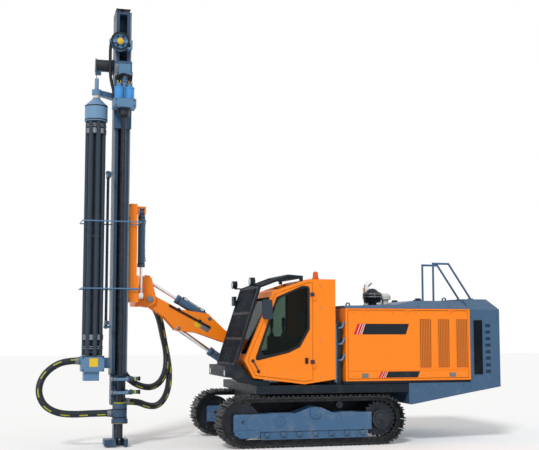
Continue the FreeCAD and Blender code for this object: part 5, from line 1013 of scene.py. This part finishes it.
BACK, TOP = 3.165, 2.277
FAN = (2.90, -0.25)
door = rounded(corners((-0.72, 1.00), (0.72, 2.00)), 0.05)
back.strip(door, lambda u, v, w: (BACK + 0.003 + w, u, v), 0.014, 0.006)
for y in (-0.68, 0.68):
    for z in (1.10, 1.50, 1.90):
        back.bolt((BACK, y * 1.12, z), (1, 0, 0), 0.011)
for z in (1.16, 1.28, 1.40, 1.52, 1.64, 1.76, 1.88):
    guard_bars.box((BACK - 0.004, -0.60, z), (BACK + 0.012, 0.60, z + 0.022), ("Y", 25))
for y in (-1.02, 1.02):
    lenses.turned((BACK - 0.005, y, 1.98), (BACK + 1, y, 1.98), [(0, 0.042), (0.018, 0.042), (0.026, 0.030)],
                  24)
    back.ring((BACK - 0.004, y, 1.98), (BACK + 0.012, y, 1.98), 0.052, 0.043)
for y in (-0.66, 0.66):
    back.box((BACK - 0.004, y - 0.012, 1.44), (BACK + 0.020, y + 0.012, 1.56))
make_pieces("chassis", (back, "rear_door_trim", DEEP_BLUE),
            (guard_bars, "rear_door_louvres", DEEP_BLUE, 0.001), (lenses, "rear_lenses", RED))
fan.ring((*FAN, TOP), (*FAN, TOP + 0.006), 0.20, 0.18, 40)
for k in range(5):
    fan.ring((*FAN, TOP + 0.001), (*FAN, TOP + 0.005), 0.165 - k * 0.034, 0.158 - k * 0.034, 36)
for k in range(4):
    fan.box((2.71, -0.253, TOP), (3.09, -0.247, TOP + 0.004), ("Z", 45 * k), (*FAN, TOP + 0.002))
fan.done("rear_fan_guard", "chassis", BLACK, bevel=0)
tread = Work()
for x in [2.72 + 0.05 * k for k in range(8)]:
    for y in [0.20 + 0.05 * k for k in range(12)]:
        lean = 45 if (round(x * 20) + round(y * 20)) % 2 else -45
        tread.post(x, y, 0.014, 0.003, TOP, TOP + 0.0025, ("Z", lean))
tread.done("rear_tread_plate", "chassis", DEEP_BLUE, bevel=0)
tank = Work()
tank.turned((1.900, -1.149, 0.800), (1.900, -2, 0.800), [(0, 0.050), (0.006, 0.050), (0.008, 0.044)], 28)
for x in (1.70, 2.10, 2.50):
    for side in (-1, 1):
        tank.bolt((x, side * 1.150, 0.905), (0, side, 0), 0.011)
tank.done("tank_trim", "chassis", DEEP_BLUE)


# %% [markdown]
# ## Cab
#
# The door window has rounded corners and a thick black rubber seal that grips the pane. A ring of five
# edges, two outside, a lip between and two inside, makes that seal. The same outline, moved outwards or
# inwards, gives each edge, so the seal follows the opening.

# %% Window seals
def moved_out(points, by):
    """A clockwise outline moved outwards by a distance, or inwards by a negative one."""
    out = []
    for i, point in enumerate(points):
        here, before, after = Vector(point), Vector(points[i - 1]), Vector(points[(i + 1) % len(points)])
        come, leave = (here - before).normalized(), (after - here).normalized()
        one, two = Vector((-come.y, come.x)), Vector((-leave.y, leave.x))
        out.append(tuple(here + (one + two) / (1 + one.dot(two)) * by))
    return out


DOOR_OUTSIDE = 1.150
WINDOW_EDGE = [(-0.929, 1.320), (-0.591, 2.259), (-0.188, 2.434), (-0.091, 2.428), (-0.091, 1.787),
               (-0.242, 1.523), (-0.417, 1.440)]


def window_seal(name, body, face, out):
    """A rubber ring round the window, on the face at y and thick towards out."""
    seal = Work()
    outer = rounded(moved_out(WINDOW_EDGE, 0.016), 0.05, 7)
    inner = rounded(moved_out(WINDOW_EDGE, -0.020), 0.14, 7)
    lip = rounded(moved_out(WINDOW_EDGE, -0.006), 0.09, 7)
    edges = [(outer, 0.0), (outer, 0.007), (lip, 0.013), (inner, 0.007), (inner, -0.030)]
    seal.rings([[(u, face + out * raised, v) for u, v in edge] for edge, raised in edges], closed=True)
    seal.done(name, body, RUBBER, bevel=0)


window_seal("door_seal", "cab_door", -DOOR_OUTSIDE, -1)
window_seal("far_window_seal", "chassis", 0.050, 1)
print("seals", 2)


# %% Guard mesh, lamp lenses and bumper lights
GUARD_FOOT, GUARD_BROW = (-1.240, 1.250), (-0.860, 2.430)
GUARD_SIDES = (-1.100, 0.050)
SLATS, RAILS = 27, 9
slats, lenses, shades, bumper = works(4)
lean = degrees(atan2(GUARD_BROW[0] - GUARD_FOOT[0], GUARD_BROW[1] - GUARD_FOOT[1]))
middle = [(a + b) / 2 for a, b in zip(GUARD_FOOT, GUARD_BROW)]
height = dist(GUARD_FOOT, GUARD_BROW)
for k in range(SLATS):
    y = GUARD_SIDES[0] + (k + 1) * (GUARD_SIDES[1] - GUARD_SIDES[0]) / (SLATS + 1)
    slats.box((middle[0] - 0.012, y - 0.003, middle[1] - height / 2 + 0.03),
              (middle[0] + 0.012, y + 0.003, middle[1] + height / 2 - 0.03), ("Y", lean))
for k in range(RAILS):
    share = (k + 1) / (RAILS + 1)
    x = GUARD_FOOT[0] + (GUARD_BROW[0] - GUARD_FOOT[0]) * share
    z = GUARD_FOOT[1] + (GUARD_BROW[1] - GUARD_FOOT[1]) * share
    slats.box((x - 0.006, GUARD_SIDES[0], z - 0.003), (x + 0.006, GUARD_SIDES[1], z + 0.003), ("Y", lean))
LAMP_X, LAMP_Z = -1.015, 2.505
for y in GUARD_SIDES:
    lenses.turned((LAMP_X, y, LAMP_Z), (LAMP_X - 1, y, LAMP_Z),
                  [(-0.004, 0.050), (0.002, 0.050), (0.007, 0.030)], 28)
    shades.ring((LAMP_X - 0.004, y, LAMP_Z), (LAMP_X + 0.030, y, LAMP_Z), 0.062, 0.0585, 32)
    for k in range(5):
        shades.box((LAMP_X + 0.030 + 0.009 * k, y - 0.045, LAMP_Z - 0.061),
                   (LAMP_X + 0.034 + 0.009 * k, y + 0.045, LAMP_Z + 0.061))
for low, high in ((-1.070, -1.000), (-0.060, 0.010)):
    bumper.box((-1.3925, low, 1.085), (-1.388, high, 1.165))
make_pieces("chassis", (slats, "guard_slats", BLACK, 0), (shades, "lamp_bodies", BLACK, 0.0008),
            (lenses, "lamp_lenses", LENS, 0), (bumper, "bumper_lights", LENS, 0.002))
print("slats", SLATS, "lamps", len(GUARD_SIDES))


# %% [markdown]
# The seat is foam under woven cloth. A cushion of that kind is fullest in its middle, and its sides pull
# in a little between the corners where the cloth is tight. It is made here as a rounded block whose every
# point is pushed by a formula that swells the middle, pulls the sides and presses channels into the top.

# %% Seat cushions
def cushion(name, size, place, lean, crown, channels=0):
    """A padded block: length, width and thickness, standing at place and leaning about the Y axis."""
    steps = 26
    mesh = bmesh.new()
    half = Vector(size) / 2
    bmesh.ops.create_grid(mesh, x_segments=steps, y_segments=steps, size=1)
    extruded = bmesh.ops.extrude_face_region(mesh, geom=list(mesh.faces))
    under = [v for v in extruded["geom"] if isinstance(v, bmesh.types.BMVert)]
    for vertex in mesh.verts:
        u, v = vertex.co.x, vertex.co.y
        side = -1 if vertex in under else 1
        round_off = (1 - abs(u) ** 6) * (1 - abs(v) ** 6)
        pull = 1 - 0.035 * (1 - min(abs(u), abs(v)) ** 2) * max(abs(u), abs(v)) ** 4
        thick = half.z * (0.45 + 0.55 * max(0.0, round_off) ** 0.35)
        swell = crown * (1 - u * u) * (1 - v * v) if side > 0 else 0.0
        groove = 0.0
        if channels and side > 0:
            groove = 0.007 * max(0.0, 1 - abs(((u * channels) % 1.0) - 0.5) / 0.08) * (1 - abs(v) ** 8)
        vertex.co = Vector((u * half.x * pull, v * half.y * pull, side * thick + swell - groove))
    piece = settled(mesh, name, CLOTH)
    piece.data.transform(Matrix.Translation(place) @ Matrix.Rotation(radians(lean), 4, "Y"))
    soften = piece.modifiers.new("soft", "SUBSURF")
    soften.levels = soften.render_levels = 1
    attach(piece, "chassis")
    return piece


SEAT_Y = -0.550
seat_base = cushion("seat_base_cushion", (0.42, 0.46, 0.125), (-0.205, SEAT_Y, 1.445), -2, 0.022, 4)
seat_back = cushion("seat_back_cushion", (0.54, 0.44, 0.105), (0.090, SEAT_Y, 1.800), -98.5, 0.020, 5)
head_rest = cushion("seat_head_rest", (0.14, 0.26, 0.080), (0.148, SEAT_Y, 2.150), -98.5, 0.012)
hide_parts("cab_seat")
frame_work = Work()
for k in range(6):
    z = 1.125 + k * 0.036
    frame_work.box((-0.330 + 0.01 * (k % 2), SEAT_Y - 0.170, z),
                   (0.020 - 0.01 * (k % 2), SEAT_Y + 0.170, z + 0.030))
frame_work.box((-0.390, SEAT_Y - 0.215, 1.345), (0.040, SEAT_Y + 0.215, 1.380))
back_plate = [(0.100, SEAT_Y - 0.20, 1.480), (0.100, SEAT_Y + 0.20, 1.480), (0.180, SEAT_Y + 0.19, 2.020),
              (0.180, SEAT_Y - 0.19, 2.020)]
frame_work.slab(back_plate, (1, 0, -0.14), 0.018)
for y in (SEAT_Y - 0.05, SEAT_Y + 0.05):
    frame_work.bar((0.155, y, 2.000), (0.172, y, 2.130), 0.006)
for y in (SEAT_Y - 0.225, SEAT_Y + 0.225):
    arm = rounded([(-0.20, 1.585), (0.10, 1.600), (0.10, 1.635), (-0.20, 1.635)], 0.015)
    frame_work.slab([(u, y - 0.024, v) for u, v in arm], (0, 1, 0), 0.048)
frame_work.done("seat_frame", "chassis", GREY_PLASTIC, bevel=0.004)
print("cushions", [seat_base.name, seat_back.name, head_rest.name])


# %% Inside the cab: screen, pedals and levers
inside, screen, levers = works(3)
inside.box((-0.800, -0.330, 1.560), (-0.760, -0.070, 1.760), ("Y", -20))
inside.bar((-0.760, -0.200, 1.120), (-0.770, -0.200, 1.600), 0.022)
screen.box((-0.758, -0.310, 1.580), (-0.752, -0.090, 1.740), ("Y", -20), (-0.780, -0.200, 1.660))
for y in (-0.690, -0.410):
    inside.box((-0.680, y - 0.045, 1.150), (-0.660, y + 0.045, 1.260), ("Y", 35))
    levers.bar((-0.672, y, 1.120), (-0.670, y, 1.200), 0.009)
for y in (-0.890, -0.210):
    levers.turned((-0.420, y, 1.900), (-0.420, y, 2), [(0, 0.020), (0.020, 0.031), (0.045, 0.033),
                                                       (0.062, 0.020)], 20)
    inside.turned((-0.420, y, 1.665), (-0.420, y, 2), [(0, 0.048), (0.020, 0.036), (0.040, 0.042),
                                                       (0.060, 0.026)], 20)
make_pieces("chassis", (inside, "cab_console", GREY_PLASTIC, 0.003), (screen, "cab_screen", BLACK, 0.001),
            (levers, "cab_levers", RUBBER, 0))
print("inside the cab", 3)


# %% Door handle, bolts and roof bars
handle, marks = works(2)
for x, z in ((-0.974, 1.304), (-0.888, 1.146)):
    handle.cap((x, -DOOR_OUTSIDE, z), (0, -1, 0), [(0, 0.026), (0.006, 0.026), (0.009, 0.020)], 20)
handle.box((-0.150, -1.158, 1.255), (-0.100, -DOOR_OUTSIDE, 1.345))
handle.turned((-0.125, -1.158, 1.320), (-0.125, -2, 1.320), [(0, 0.013), (0.005, 0.013)], 16)
for z in (1.05, 1.60, 2.10, 2.45):
    marks.bolt((0.100, -DOOR_OUTSIDE, z), (0, -1, 0), 0.0075)
marks.bolts((0.072, -1.000, 2.556), (0, 0, 1), 0.068, 3, 0.006)
handle.done("door_handle", "cab_door", BLACK, bevel=0.001)
marks.done("cab_bolts", "chassis", IRON, bevel=0)
roof_bars = Work()
for k in range(6):
    roof_bars.bar((-0.400 + k * 0.036, -0.980, 2.612), (-0.400 + k * 0.036, -0.060, 2.612), 0.006)
roof_bars.done("roof_guard_bars", "chassis", BLACK, bevel=0)
print("roof bars", 6)


# %% [markdown]
# ## Undercarriage
#
# Each track frame is a welded box. On its outside are the flanged cover of the cross tube with its ring
# of bolts, a round inspection cover, a raised chevron at the front, a tread plate to climb on, and a rail
# that keeps stones off the rollers.

# %% Track frame covers, treads and rails
FRAME_OUT = 1.120
HUMP = (0.025, 0.507)
SPROCKET = (1.1075, 0.3875)
ROLLER_FIRST, ROLLER_STEP, ROLLER_Z = -0.743, 0.256, 0.194
for side, name in SIDES:
    y = side * FRAME_OUT
    cover, bright, rail, tread_plate = works(4)
    face = side * (FRAME_OUT + 0.015)
    cover.cap((HUMP[0], face, HUMP[1]), (0, side, 0), [(0, 0.088), (0.008, 0.086), (0.010, 0.045),
                                                       (0.020, 0.040)], 40)
    cover.bolts((HUMP[0], face, HUMP[1]), (0, side, 0), 0.068, 8, 0.011)
    bright.bolts((HUMP[0], face + side * 0.020, HUMP[1]), (0, side, 0), 0.020, 3, 0.006)
    cover.ring((-0.538, y, 0.395), (-0.538, y + side * 0.005, 0.395), 0.080, 0.072, 36)
    cover.turned((-0.538, y, 0.395), (-0.538, y + side, 0.395), [(0, 0.020), (0.006, 0.018)], 20)
    for arm in (-1, 1):
        outline = [(-1.015, 0.374 + arm * 0.127), (-1.123, 0.374), (-1.095, 0.374),
                   (-0.987, 0.374 + arm * 0.127)]
        cover.slab([(u, y, v) for u, v in outline], (0, side, 0), 0.005)
    for k in range(2):
        cover.box((0.36 + 0.10 * k, min(y, y + side * 0.004), 0.33),
                  (0.42 + 0.10 * k, max(y, y + side * 0.004), 0.47))
    rail_points = rounded([(-1.250, 0.262), (-0.860, 0.262), (-0.860, 0.150), (-1.160, 0.150),
                           (-1.250, 0.200)], 0.015)
    rail.slab([(u, y, v) for u, v in rail_points], (0, side, 0), 0.016)
    for x in (-1.19, -1.05, -0.91):
        rail.bolt((x, y + side * 0.016, 0.225), (0, side, 0), 0.011)
    for k in range(7):
        x = ROLLER_FIRST + ROLLER_STEP * k
        rail.box((x - 0.040, min(y - side * 0.012, y + side * 0.010), ROLLER_Z - 0.032),
                 (x + 0.040, max(y - side * 0.012, y + side * 0.010), ROLLER_Z + 0.032))
        rail.cap((x, y, ROLLER_Z), (0, side, 0), [(0.008, 0.022), (0.016, 0.020), (0.019, 0.012)], 20)
        for spot in (-0.030, 0.030):
            rail.bolt((x + spot, y + side * 0.010, ROLLER_Z), (0, side, 0), 0.007)
    for x, wide in ((-0.522, 0.36), (0.560, 0.26)):
        tread_plate.box((x - wide / 2, side * 1.045 - 0.07, 0.5055),
                        (x + wide / 2, side * 1.045 + 0.07, 0.511))
        for i in range(round(wide / 0.035)):
            for j in range(4):
                spot = (x - wide / 2 + 0.02 + i * 0.035, side * 1.045 - 0.05 + j * 0.033, 0.511)
                tread_plate.box((spot[0] - 0.011, spot[1] - 0.0025, spot[2]),
                                (spot[0] + 0.011, spot[1] + 0.0025, spot[2] + 0.0022),
                                ("Z", 45 if (i + j) % 2 else -45))
    make_pieces("chassis", (cover, f"track_covers_{name}", STEEL_BLUE, 0.0015),
                (bright, f"track_plug_{name}", IRON, 0), (rail, f"track_rail_{name}", STEEL_BLUE, 0.002),
                (tread_plate, f"track_treads_{name}", PALE_BLUE, 0))
print("covers on each side", 3)


# %% Drive hubs
HUB_OUT = 1.100
for side, name in SIDES:
    hubs, plugs = works(2)
    x, z, y = SPROCKET[0], SPROCKET[1], side * HUB_OUT
    hubs.cap((x, y, z), (0, side, 0), [(0, 0.100), (0.010, 0.097), (0.014, 0.050), (0.018, 0.044)], 36)
    hubs.bolts((x, y, z), (0, side, 0), 0.124, 14, 0.010)
    plugs.bolts((x, y + side * 0.012, z), (0, side, 0), 0.074, 3, 0.007)
    make_pieces("chassis", (hubs, f"track_hubs_{name}", DARK_STEEL, 0.001),
                (plugs, f"track_plugs_{name}", BRASS, 0))
print("hubs", 2)


# %% [markdown]
# ## Boom and cylinders
#
# A hydraulic cylinder is a honed tube with a screwed gland at its rod end and two ports, joined by a thin
# pipe that runs along the barrel. All four cylinders are dressed by one function, so each gets the same
# parts at its own size.

# %% Cylinder glands, ports and pipes
def dress_cylinder(name, base, eye, radius, reach, up):
    """Gland, ports and pipe of a cylinder whose barrel runs from base towards eye; up is the pipe's side."""
    base, eye, up = Vector(base), Vector(eye), Vector(up)
    line = (eye - base).normalized()
    up = (up - line * up.dot(line)).normalized()
    across = line.cross(up)
    gland, pipe = works(2)
    end = base + line * reach
    gland.ring(end - line * 0.062, end - line * 0.002, radius + 0.005, radius - 0.004, 32)
    for u, v in circle(6):
        out = up * u + across * v
        spot = end - line * 0.045 + out * (radius + 0.004)
        gland.turned(spot, spot + out, [(0, 0.008), (0.004, 0.008)], 10)
    gland.ring(base + line * 0.085, base + line * 0.105, radius + 0.004, radius - 0.004, 32)
    for along in (0.130, reach - 0.100):
        spot = base + line * along + up * (radius - 0.004)
        gland.turned(spot, spot + up, [(0, 0.018), (0.016, 0.018), (0.020, 0.013), (0.028, 0.013)], 16)
    run = ((0.130, 0.022), (0.150, 0.034), (0.200, 0.016), (reach * 0.55, 0.014), (reach - 0.170, 0.016),
           (reach - 0.120, 0.034), (reach - 0.100, 0.022))
    path = [base + line * along + up * (radius + out) for along, out in run]
    pipe.pipe([tuple(p) for p in path], 0.0075)
    for share in (0.35, 0.68):
        middle = base + line * (reach * share) + up * (radius + 0.006)
        pipe.ring(middle - line * 0.010, middle + line * 0.010, 0.020, 0.008, 12)
    make_pieces(name, (gland, f"{name}_gland", DARK_STEEL, 0.001), (pipe, f"{name}_pipe", IRON, 0))


dress_cylinder("lift_barrel", (-0.870, 0.450, 1.130), (-1.850, 0.450, 1.800), 0.066, 0.540, (0, -1, 0.3))
dress_cylinder("tilt_barrel", (-1.330, 0.450, 1.955), (-2.357, 0.450, 2.589), 0.070, 0.640, (0.2, -0.5, 1))
dress_cylinder("sway_barrel", (-2.500, 0.150, 3.672), (-2.500, 0.150, 2.321), 0.056, 0.895, (1, 0.6, 0))
dress_cylinder("slew_barrel", (0.040, 0.700, 1.090), (-0.550, 0.700, 1.090), 0.048, 0.345, (0, 0, 1))
print("cylinders dressed", 4)


# %% Pin caps, signs and steel pipes on the boom
pins, sign, plate_work, lines_work = works(4)
for x, z, reach in ((-0.820, 1.600, 0.055), (-2.330, 2.270, 0.055), (-1.850, 1.800, 0.034)):
    for side in (-1, 1):
        y = 0.450 + side * (0.180 if reach > 0.05 else 0.122)
        pins.cap((x, y, z), (0, side, 0), [(0, reach), (0.006, reach), (0.010, reach * 0.7)], 28)
        pins.bolts((x, y + side * 0.008, z), (0, side, 0), reach * 0.6, 3, 0.009)
BOOM_FACE = 0.3300
sign.turned((-1.535, BOOM_FACE, 1.862), (-1.535, BOOM_FACE - 1, 1.862), [(-0.001, 0.052), (0.003, 0.052)],
            40)
tilt = radians(31)
grey = [(-1.470 + a * cos(tilt) + b * sin(tilt), 1.845 - a * sin(tilt) + b * cos(tilt))
        for a, b in corners((0, -0.045), (0.150, 0.045))]
plate_work.slab([(u, BOOM_FACE + 0.001, v) for u, v in grey], (0, -1, 0), 0.003)
for shift in (0.0, 0.022):
    route = [(-1.320, 1.800), (-1.700, 2.000), (-1.900, 2.105), (-2.010, 2.165)]
    lines_work.pipe([(x, 0.316, z + shift) for x, z in route], 0.0085)
for x, z in ((-1.50, 1.905), (-1.85, 2.092)):
    lines_work.box((x - 0.020, 0.306, z - 0.018), (x + 0.020, 0.330, z + 0.040), ("Y", 28))
make_pieces("boom", (pins, "boom_pin_caps", IRON, 0.001), (sign, "boom_round_sign", YELLOW, 0),
            (plate_work, "boom_plate", IRON, 0), (lines_work, "boom_pipes", BLACK, 0))
print("boom pieces", 4)


# %% [markdown]
# ## Mast
#
# The feed chain inside the mast pulls the rotary head up and down. It is a leaf of side plates, pins and
# rollers, repeated at one pitch, and its form shows in the mast's open front, so real links replace the
# plain bar.

# %% Feed chain
CHAIN_X, CHAIN_Y = -2.870, 0.070
CHAIN_LOW, CHAIN_HIGH, CHAIN_PITCH = 1.135, 6.695, 0.0508
chain = Work()
count = int((CHAIN_HIGH - CHAIN_LOW) / CHAIN_PITCH) - 1
for k in range(count):
    z = CHAIN_LOW + CHAIN_PITCH * (k + 0.5)
    spread = 0.0185 if k % 2 else 0.0145
    for side in (-1, 1):
        x = CHAIN_X + side * spread
        link = [(x, CHAIN_Y + 0.020 * u, z + CHAIN_PITCH / 2 + 0.041 * v) for u, v in circle(8)]
        chain.slab(link, (1, 0, 0), 0.003)
    chain.bar((CHAIN_X - 0.0205, CHAIN_Y, z), (CHAIN_X + 0.0205, CHAIN_Y, z), 0.011, 10)
chain_piece = chain.done("feed_chain_links", "mast", DARK_STEEL, bevel=0)
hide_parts("feed_chain")
print("chain links", count)


# %% Wear strips, bolts, sheave hub, winch rope and mast top
MAST_NEAR, MAST_RIGHT_X, MAST_LEFT_X = -0.150, -2.740, -3.000
strips, bolts, hub, dark, rope, top = works(6)
for left, right in ((MAST_LEFT_X, MAST_LEFT_X + 0.022), (MAST_RIGHT_X - 0.022, MAST_RIGHT_X)):
    strips.box((left, MAST_NEAR - 0.0015, 1.10), (right, MAST_NEAR + 0.001, 6.85))
for k in range(16):
    z = 1.25 + 0.35 * k
    bolts.bolt((MAST_LEFT_X, 0.060, z), (-1, 0, 0), 0.009)
SHEAVE = (-2.932, 6.340)
WINCH = (-0.090, 5.970)
hub.turned((SHEAVE[0], -0.284, SHEAVE[1]), (SHEAVE[0], -1, SHEAVE[1]),
           [(0, 0.050), (0.010, 0.048), (0.014, 0.026), (0.024, 0.024)], 32)
hub.bolts((SHEAVE[0], -0.2855, SHEAVE[1]), (0, -1, 0), 0.036, 4, 0.006)
dark.ring((SHEAVE[0], -0.2855, SHEAVE[1]), (SHEAVE[0], -0.2835, SHEAVE[1]), 0.1475, 0.118, 44)
for u, v in circle(6):
    x, z = SHEAVE[0] + u * 0.085, SHEAVE[1] + v * 0.085
    dark.cap((x, -0.2835, z), (0, -1, 0), [(0, 0.019), (0.001, 0.019)], 20)
profile = [(0.012 + 0.0075 * k, 0.0935 if k % 2 else 0.0985) for k in range(33)]
rope.turned((-3.296, *WINCH), (-3.000, *WINCH), profile, 40)
rope.bar((-3.290, -0.180, 5.955), (-3.290, -0.248, 5.720), 0.006, 10)
for x in (-3.300, -3.034):
    dark.ring((x, *WINCH), (x + 0.008, *WINCH), 0.112, 0.090, 36)
top.box((-2.985, -0.140, 6.909), (-2.755, 0.110, 6.915))
for x in (-2.975, -2.765):
    for y in (-0.130, 0.100):
        top.bolt((x, y, 6.915), (0, 0, 1), 0.009)
make_pieces("mast", (strips, "mast_wear_strips", IRON, 0), (bolts, "mast_bolts", IRON, 0),
            (hub, "sheave_hub", YELLOW, 0.001), (dark, "mast_dark_trim", BLACK, 0.0005),
            (rope, "winch_rope", DARK_STEEL, 0))
print("mast pieces", 5)


# %% [markdown]
# The foot of the mast guides the drill rod through two stages of split clamps, and a hood over the hole
# takes the dust to the hose. Clamps work by small cross cylinders, which stand out behind the mast.

# %% Clamp cylinders, rings and the foot
DRILL = (-2.870, -0.350)
rings, lime, blocks, jaws = works(4)
for z in (0.823, 1.025):
    for y, reach, tip in ((-0.350, 0.028, -2.560), (-0.280, 0.022, -2.590)):
        rings.ring((tip - 0.030, y, z), (tip - 0.002, y, z), reach + 0.006, reach - 0.002, 24)
        rings.ring((-2.700, y, z), (-2.680, y, z), reach + 0.005, reach - 0.002, 24)
        lime.ring((-2.655, y, z), (-2.628, y, z), reach + 0.004, reach - 0.002, 24)
    for x in (-2.960, -2.780):
        jaws.cap((x, -0.5005, z), (0, -1, 0), [(0, 0.020), (0.007, 0.020), (0.010, 0.012)], 20)
        jaws.bolt((x, -0.508, z), (0, -1, 0), 0.010)
    blocks.box((-2.985, -0.504, z - 0.022), (-2.755, -0.500, z + 0.022))
lime.ring((*DRILL, 0.655), (*DRILL, 0.672), 0.088, 0.068, 36)
for low, high in ((0.560, 0.575), (0.440, 0.455)):
    rings.ring((*DRILL, low), (*DRILL, high), 0.1135, 0.108, 44)
lime_ring = Work()
lime_ring.ring((*DRILL, 0.352), (*DRILL, 0.362), 0.1265, 0.108, 44)
lime_ring.done("hood_skirt_ring", "mast", BRASS, bevel=0)
for k in range(4):
    x = -3.060 + k * 0.090
    jaws.bolt((x, -0.470, 0.120), (0, -1, 0), 0.012)
make_pieces("mast", (rings, "clamp_rings", BLACK, 0.001), (lime, "clamp_bands", LIME, 0.001),
            (blocks, "clamp_faces", PALE_BLUE, 0.001), (jaws, "clamp_bolts", IRON, 0),
            (top, "mast_cap", DARK_STEEL, 0.001))
print("clamp stages", 2)


# %% [markdown]
# ## Rotary head and magazine
#
# Two hydraulic motors on the gearbox turn the rod. Their bright blue cases, the grey valve block above
# and the brass elbows with short hoses between them are the busiest place on the machine.

# %% Motors, valve block and fittings
MOTOR_Y = -0.380
motors, brass, links, valve = works(4)
for x in (-2.955, -2.785):
    motors.turned((x, MOTOR_Y, 5.372), (x, MOTOR_Y, 6),
                  [(0, 0.078), (0.020, 0.078), (0.026, 0.0705), (0.170, 0.0705),
                  (0.176, 0.076), (0.196, 0.076), (0.203, 0.060)], 36)
    motors.bolts((x, MOTOR_Y, 5.392), (0, 0, 1), 0.0735, 6, 0.006)
    motors.bolts((x, MOTOR_Y, 5.573), (0, 0, 1), 0.056, 6, 0.007)
    for side in (-1, 1):
        brass.turned((x + side * 0.022, MOTOR_Y - 0.030, 5.628), (x + side * 0.022, MOTOR_Y - 0.030, 6),
                     [(0, 0.014), (0.018, 0.014), (0.024, 0.010), (0.040, 0.010)], 12)
for k in range(6):
    x = -2.990 + 0.048 * k
    valve.box((x - 0.018, -0.300, 5.772 + 0.012 * (k % 2)), (x + 0.018, -0.212, 5.840 + 0.012 * (k % 2)))
    brass.turned((x, -0.262, 5.772), (x, -0.262, 5), [(0, 0.013), (0.016, 0.013), (0.020, 0.009),
                                                      (0.030, 0.009)], 12)
LINKS = ((-2.990, -2.977, -0.395), (-2.942, -2.933, -0.350), (-2.798, -2.807, -0.350),
         (-2.750, -2.763, -0.395),
         (-2.990, -2.763, -0.470), (-2.942, -2.807, -0.455), (-2.750, -2.977, -0.480),
         (-2.798, -2.933, -0.462))
for start_x, end_x, bow in LINKS:
    dip = 0.035 * random.random()
    turn = start_x * 0.7 + end_x * 0.3, start_x * 0.3 + end_x * 0.7
    links.pipe([(start_x, -0.262, 5.748), (start_x, -0.290, 5.715), (turn[0], bow + 0.015, 5.750 - dip),
                (turn[1], bow, 5.775 - dip), (end_x, bow + 0.020, 5.735), (end_x, -0.412, 5.700),
                (end_x, -0.410, 5.668)],
               0.0095, 12, 10)
valve.box((-3.010, -0.214, 5.860), (-2.905, -0.2085, 5.990))
valve.bolts((-2.957, -0.214, 5.925), (0, -1, 0), 0.038, 4, 0.007)
make_pieces("head", (motors, "head_motors", BRIGHT_BLUE, 0.0015), (brass, "head_fittings", BRASS, 0),
            (links, "head_links", THIN_DARK, 0), (valve, "head_valves", IRON, 0.0015))
case = Work()
for x in (-3.010, -2.730):
    for z in (5.262, 5.345):
        case.bolt((x, -0.495, z), (0, -1, 0), 0.011)
for k in range(7):
    x = -3.020 + 0.050 * k
    case.bolt((x, -0.475, 5.370), (0, 0, 1), 0.009)
case.done("gearbox_bolts", "head", DARK_STEEL, bevel=0)
print("head links", len(LINKS))


# %% Rod ends, head drum bands and tray sign
MAGAZINE = (-3.290, -0.250)
ROD_CIRCLE, ROD_COUNT = 0.124, 7
threads, collar, bands = works(3)
for u, v in circle(ROD_COUNT):
    x, y = MAGAZINE[0] + ROD_CIRCLE * u, MAGAZINE[1] + ROD_CIRCLE * v
    for low in (1.480, 1.510, 4.930, 4.960):
        threads.ring((x, y, low), (x, y, low + 0.012), 0.0405, 0.036, 20)
    for low, high in ((1.620, 1.700), (4.820, 4.900)):
        threads.ring((x, y, low), (x, y, high), 0.0395, 0.036, 20)
threads.done("rod_joints", "magazine", IRON, bevel=0)
for low, high in ((5.030, 5.050), (5.245, 5.265)):
    bands.ring((*MAGAZINE, low), (*MAGAZINE, high), 0.1785, 0.170, 48)
bands.bolts((MAGAZINE[0], MAGAZINE[1], 5.392), (0, 0, 1), 0.046, 6, 0.008)
bands.done("drum_bands", "magazine", DARK_STEEL, bevel=0.001)
collar.turned((*MAGAZINE, 5.395), (*MAGAZINE, 6), [(0, 0.060), (0.020, 0.060), (0.024, 0.048),
                                                   (0.060, 0.046), (0.064, 0.036), (0.100, 0.034)], 36)
collar.done("drum_collar", "magazine", PALE, bevel=0.001)
tray_sign = Work()
TRAY_FACE = -0.420
tray_sign.box((-3.345, TRAY_FACE - 0.003, 1.212), (-3.215, TRAY_FACE + 0.001, 1.342))
tray_sign.done("tray_sign", "mast", YELLOW, bevel=0)
tray_bolts = Work()
for x in (-3.440, -3.140):
    for z in (1.165, 1.350):
        tray_bolts.bolt((x, TRAY_FACE, z), (0, -1, 0), 0.011)
tray_bolts.box((-3.455, TRAY_FACE - 0.006, 1.366), (-3.125, TRAY_FACE, 1.380))
tray_bolts.done("tray_bolts", "mast", DARK_STEEL, bevel=0)
print("rods", ROD_COUNT)


# %% Hose couplings
def coupling(name, body, at, towards, radius):
    """A pressed steel collar round the end of a hose."""
    start = Vector(at)
    line = (Vector(towards) - start).normalized()
    collar = Work()
    collar.turned(start, start + line, [(0.002, radius - 0.004), (0.002, radius + 0.010),
                                        (0.014, radius + 0.010), (0.018, radius + 0.004),
                  (0.060, radius + 0.004), (0.066, radius - 0.004)], 32)
    collar.done(name, body, IRON, bevel=0)


for name, first, last in (("bundle_hose_front", "mast", "cradle"), ("bundle_hose_rear", "mast", "cradle"),
                          ("suction_hose", "mast", "mast")):
    radius = HOSE_DIAMETER[name] / 2
    coupling(name + "_collar_low", first, HOSES[name][0], HOSES[name][1], radius)
    coupling(name + "_collar_high", last, HOSES[name][-1], HOSES[name][-2], radius)
print("couplings", 6)


# %% [markdown]
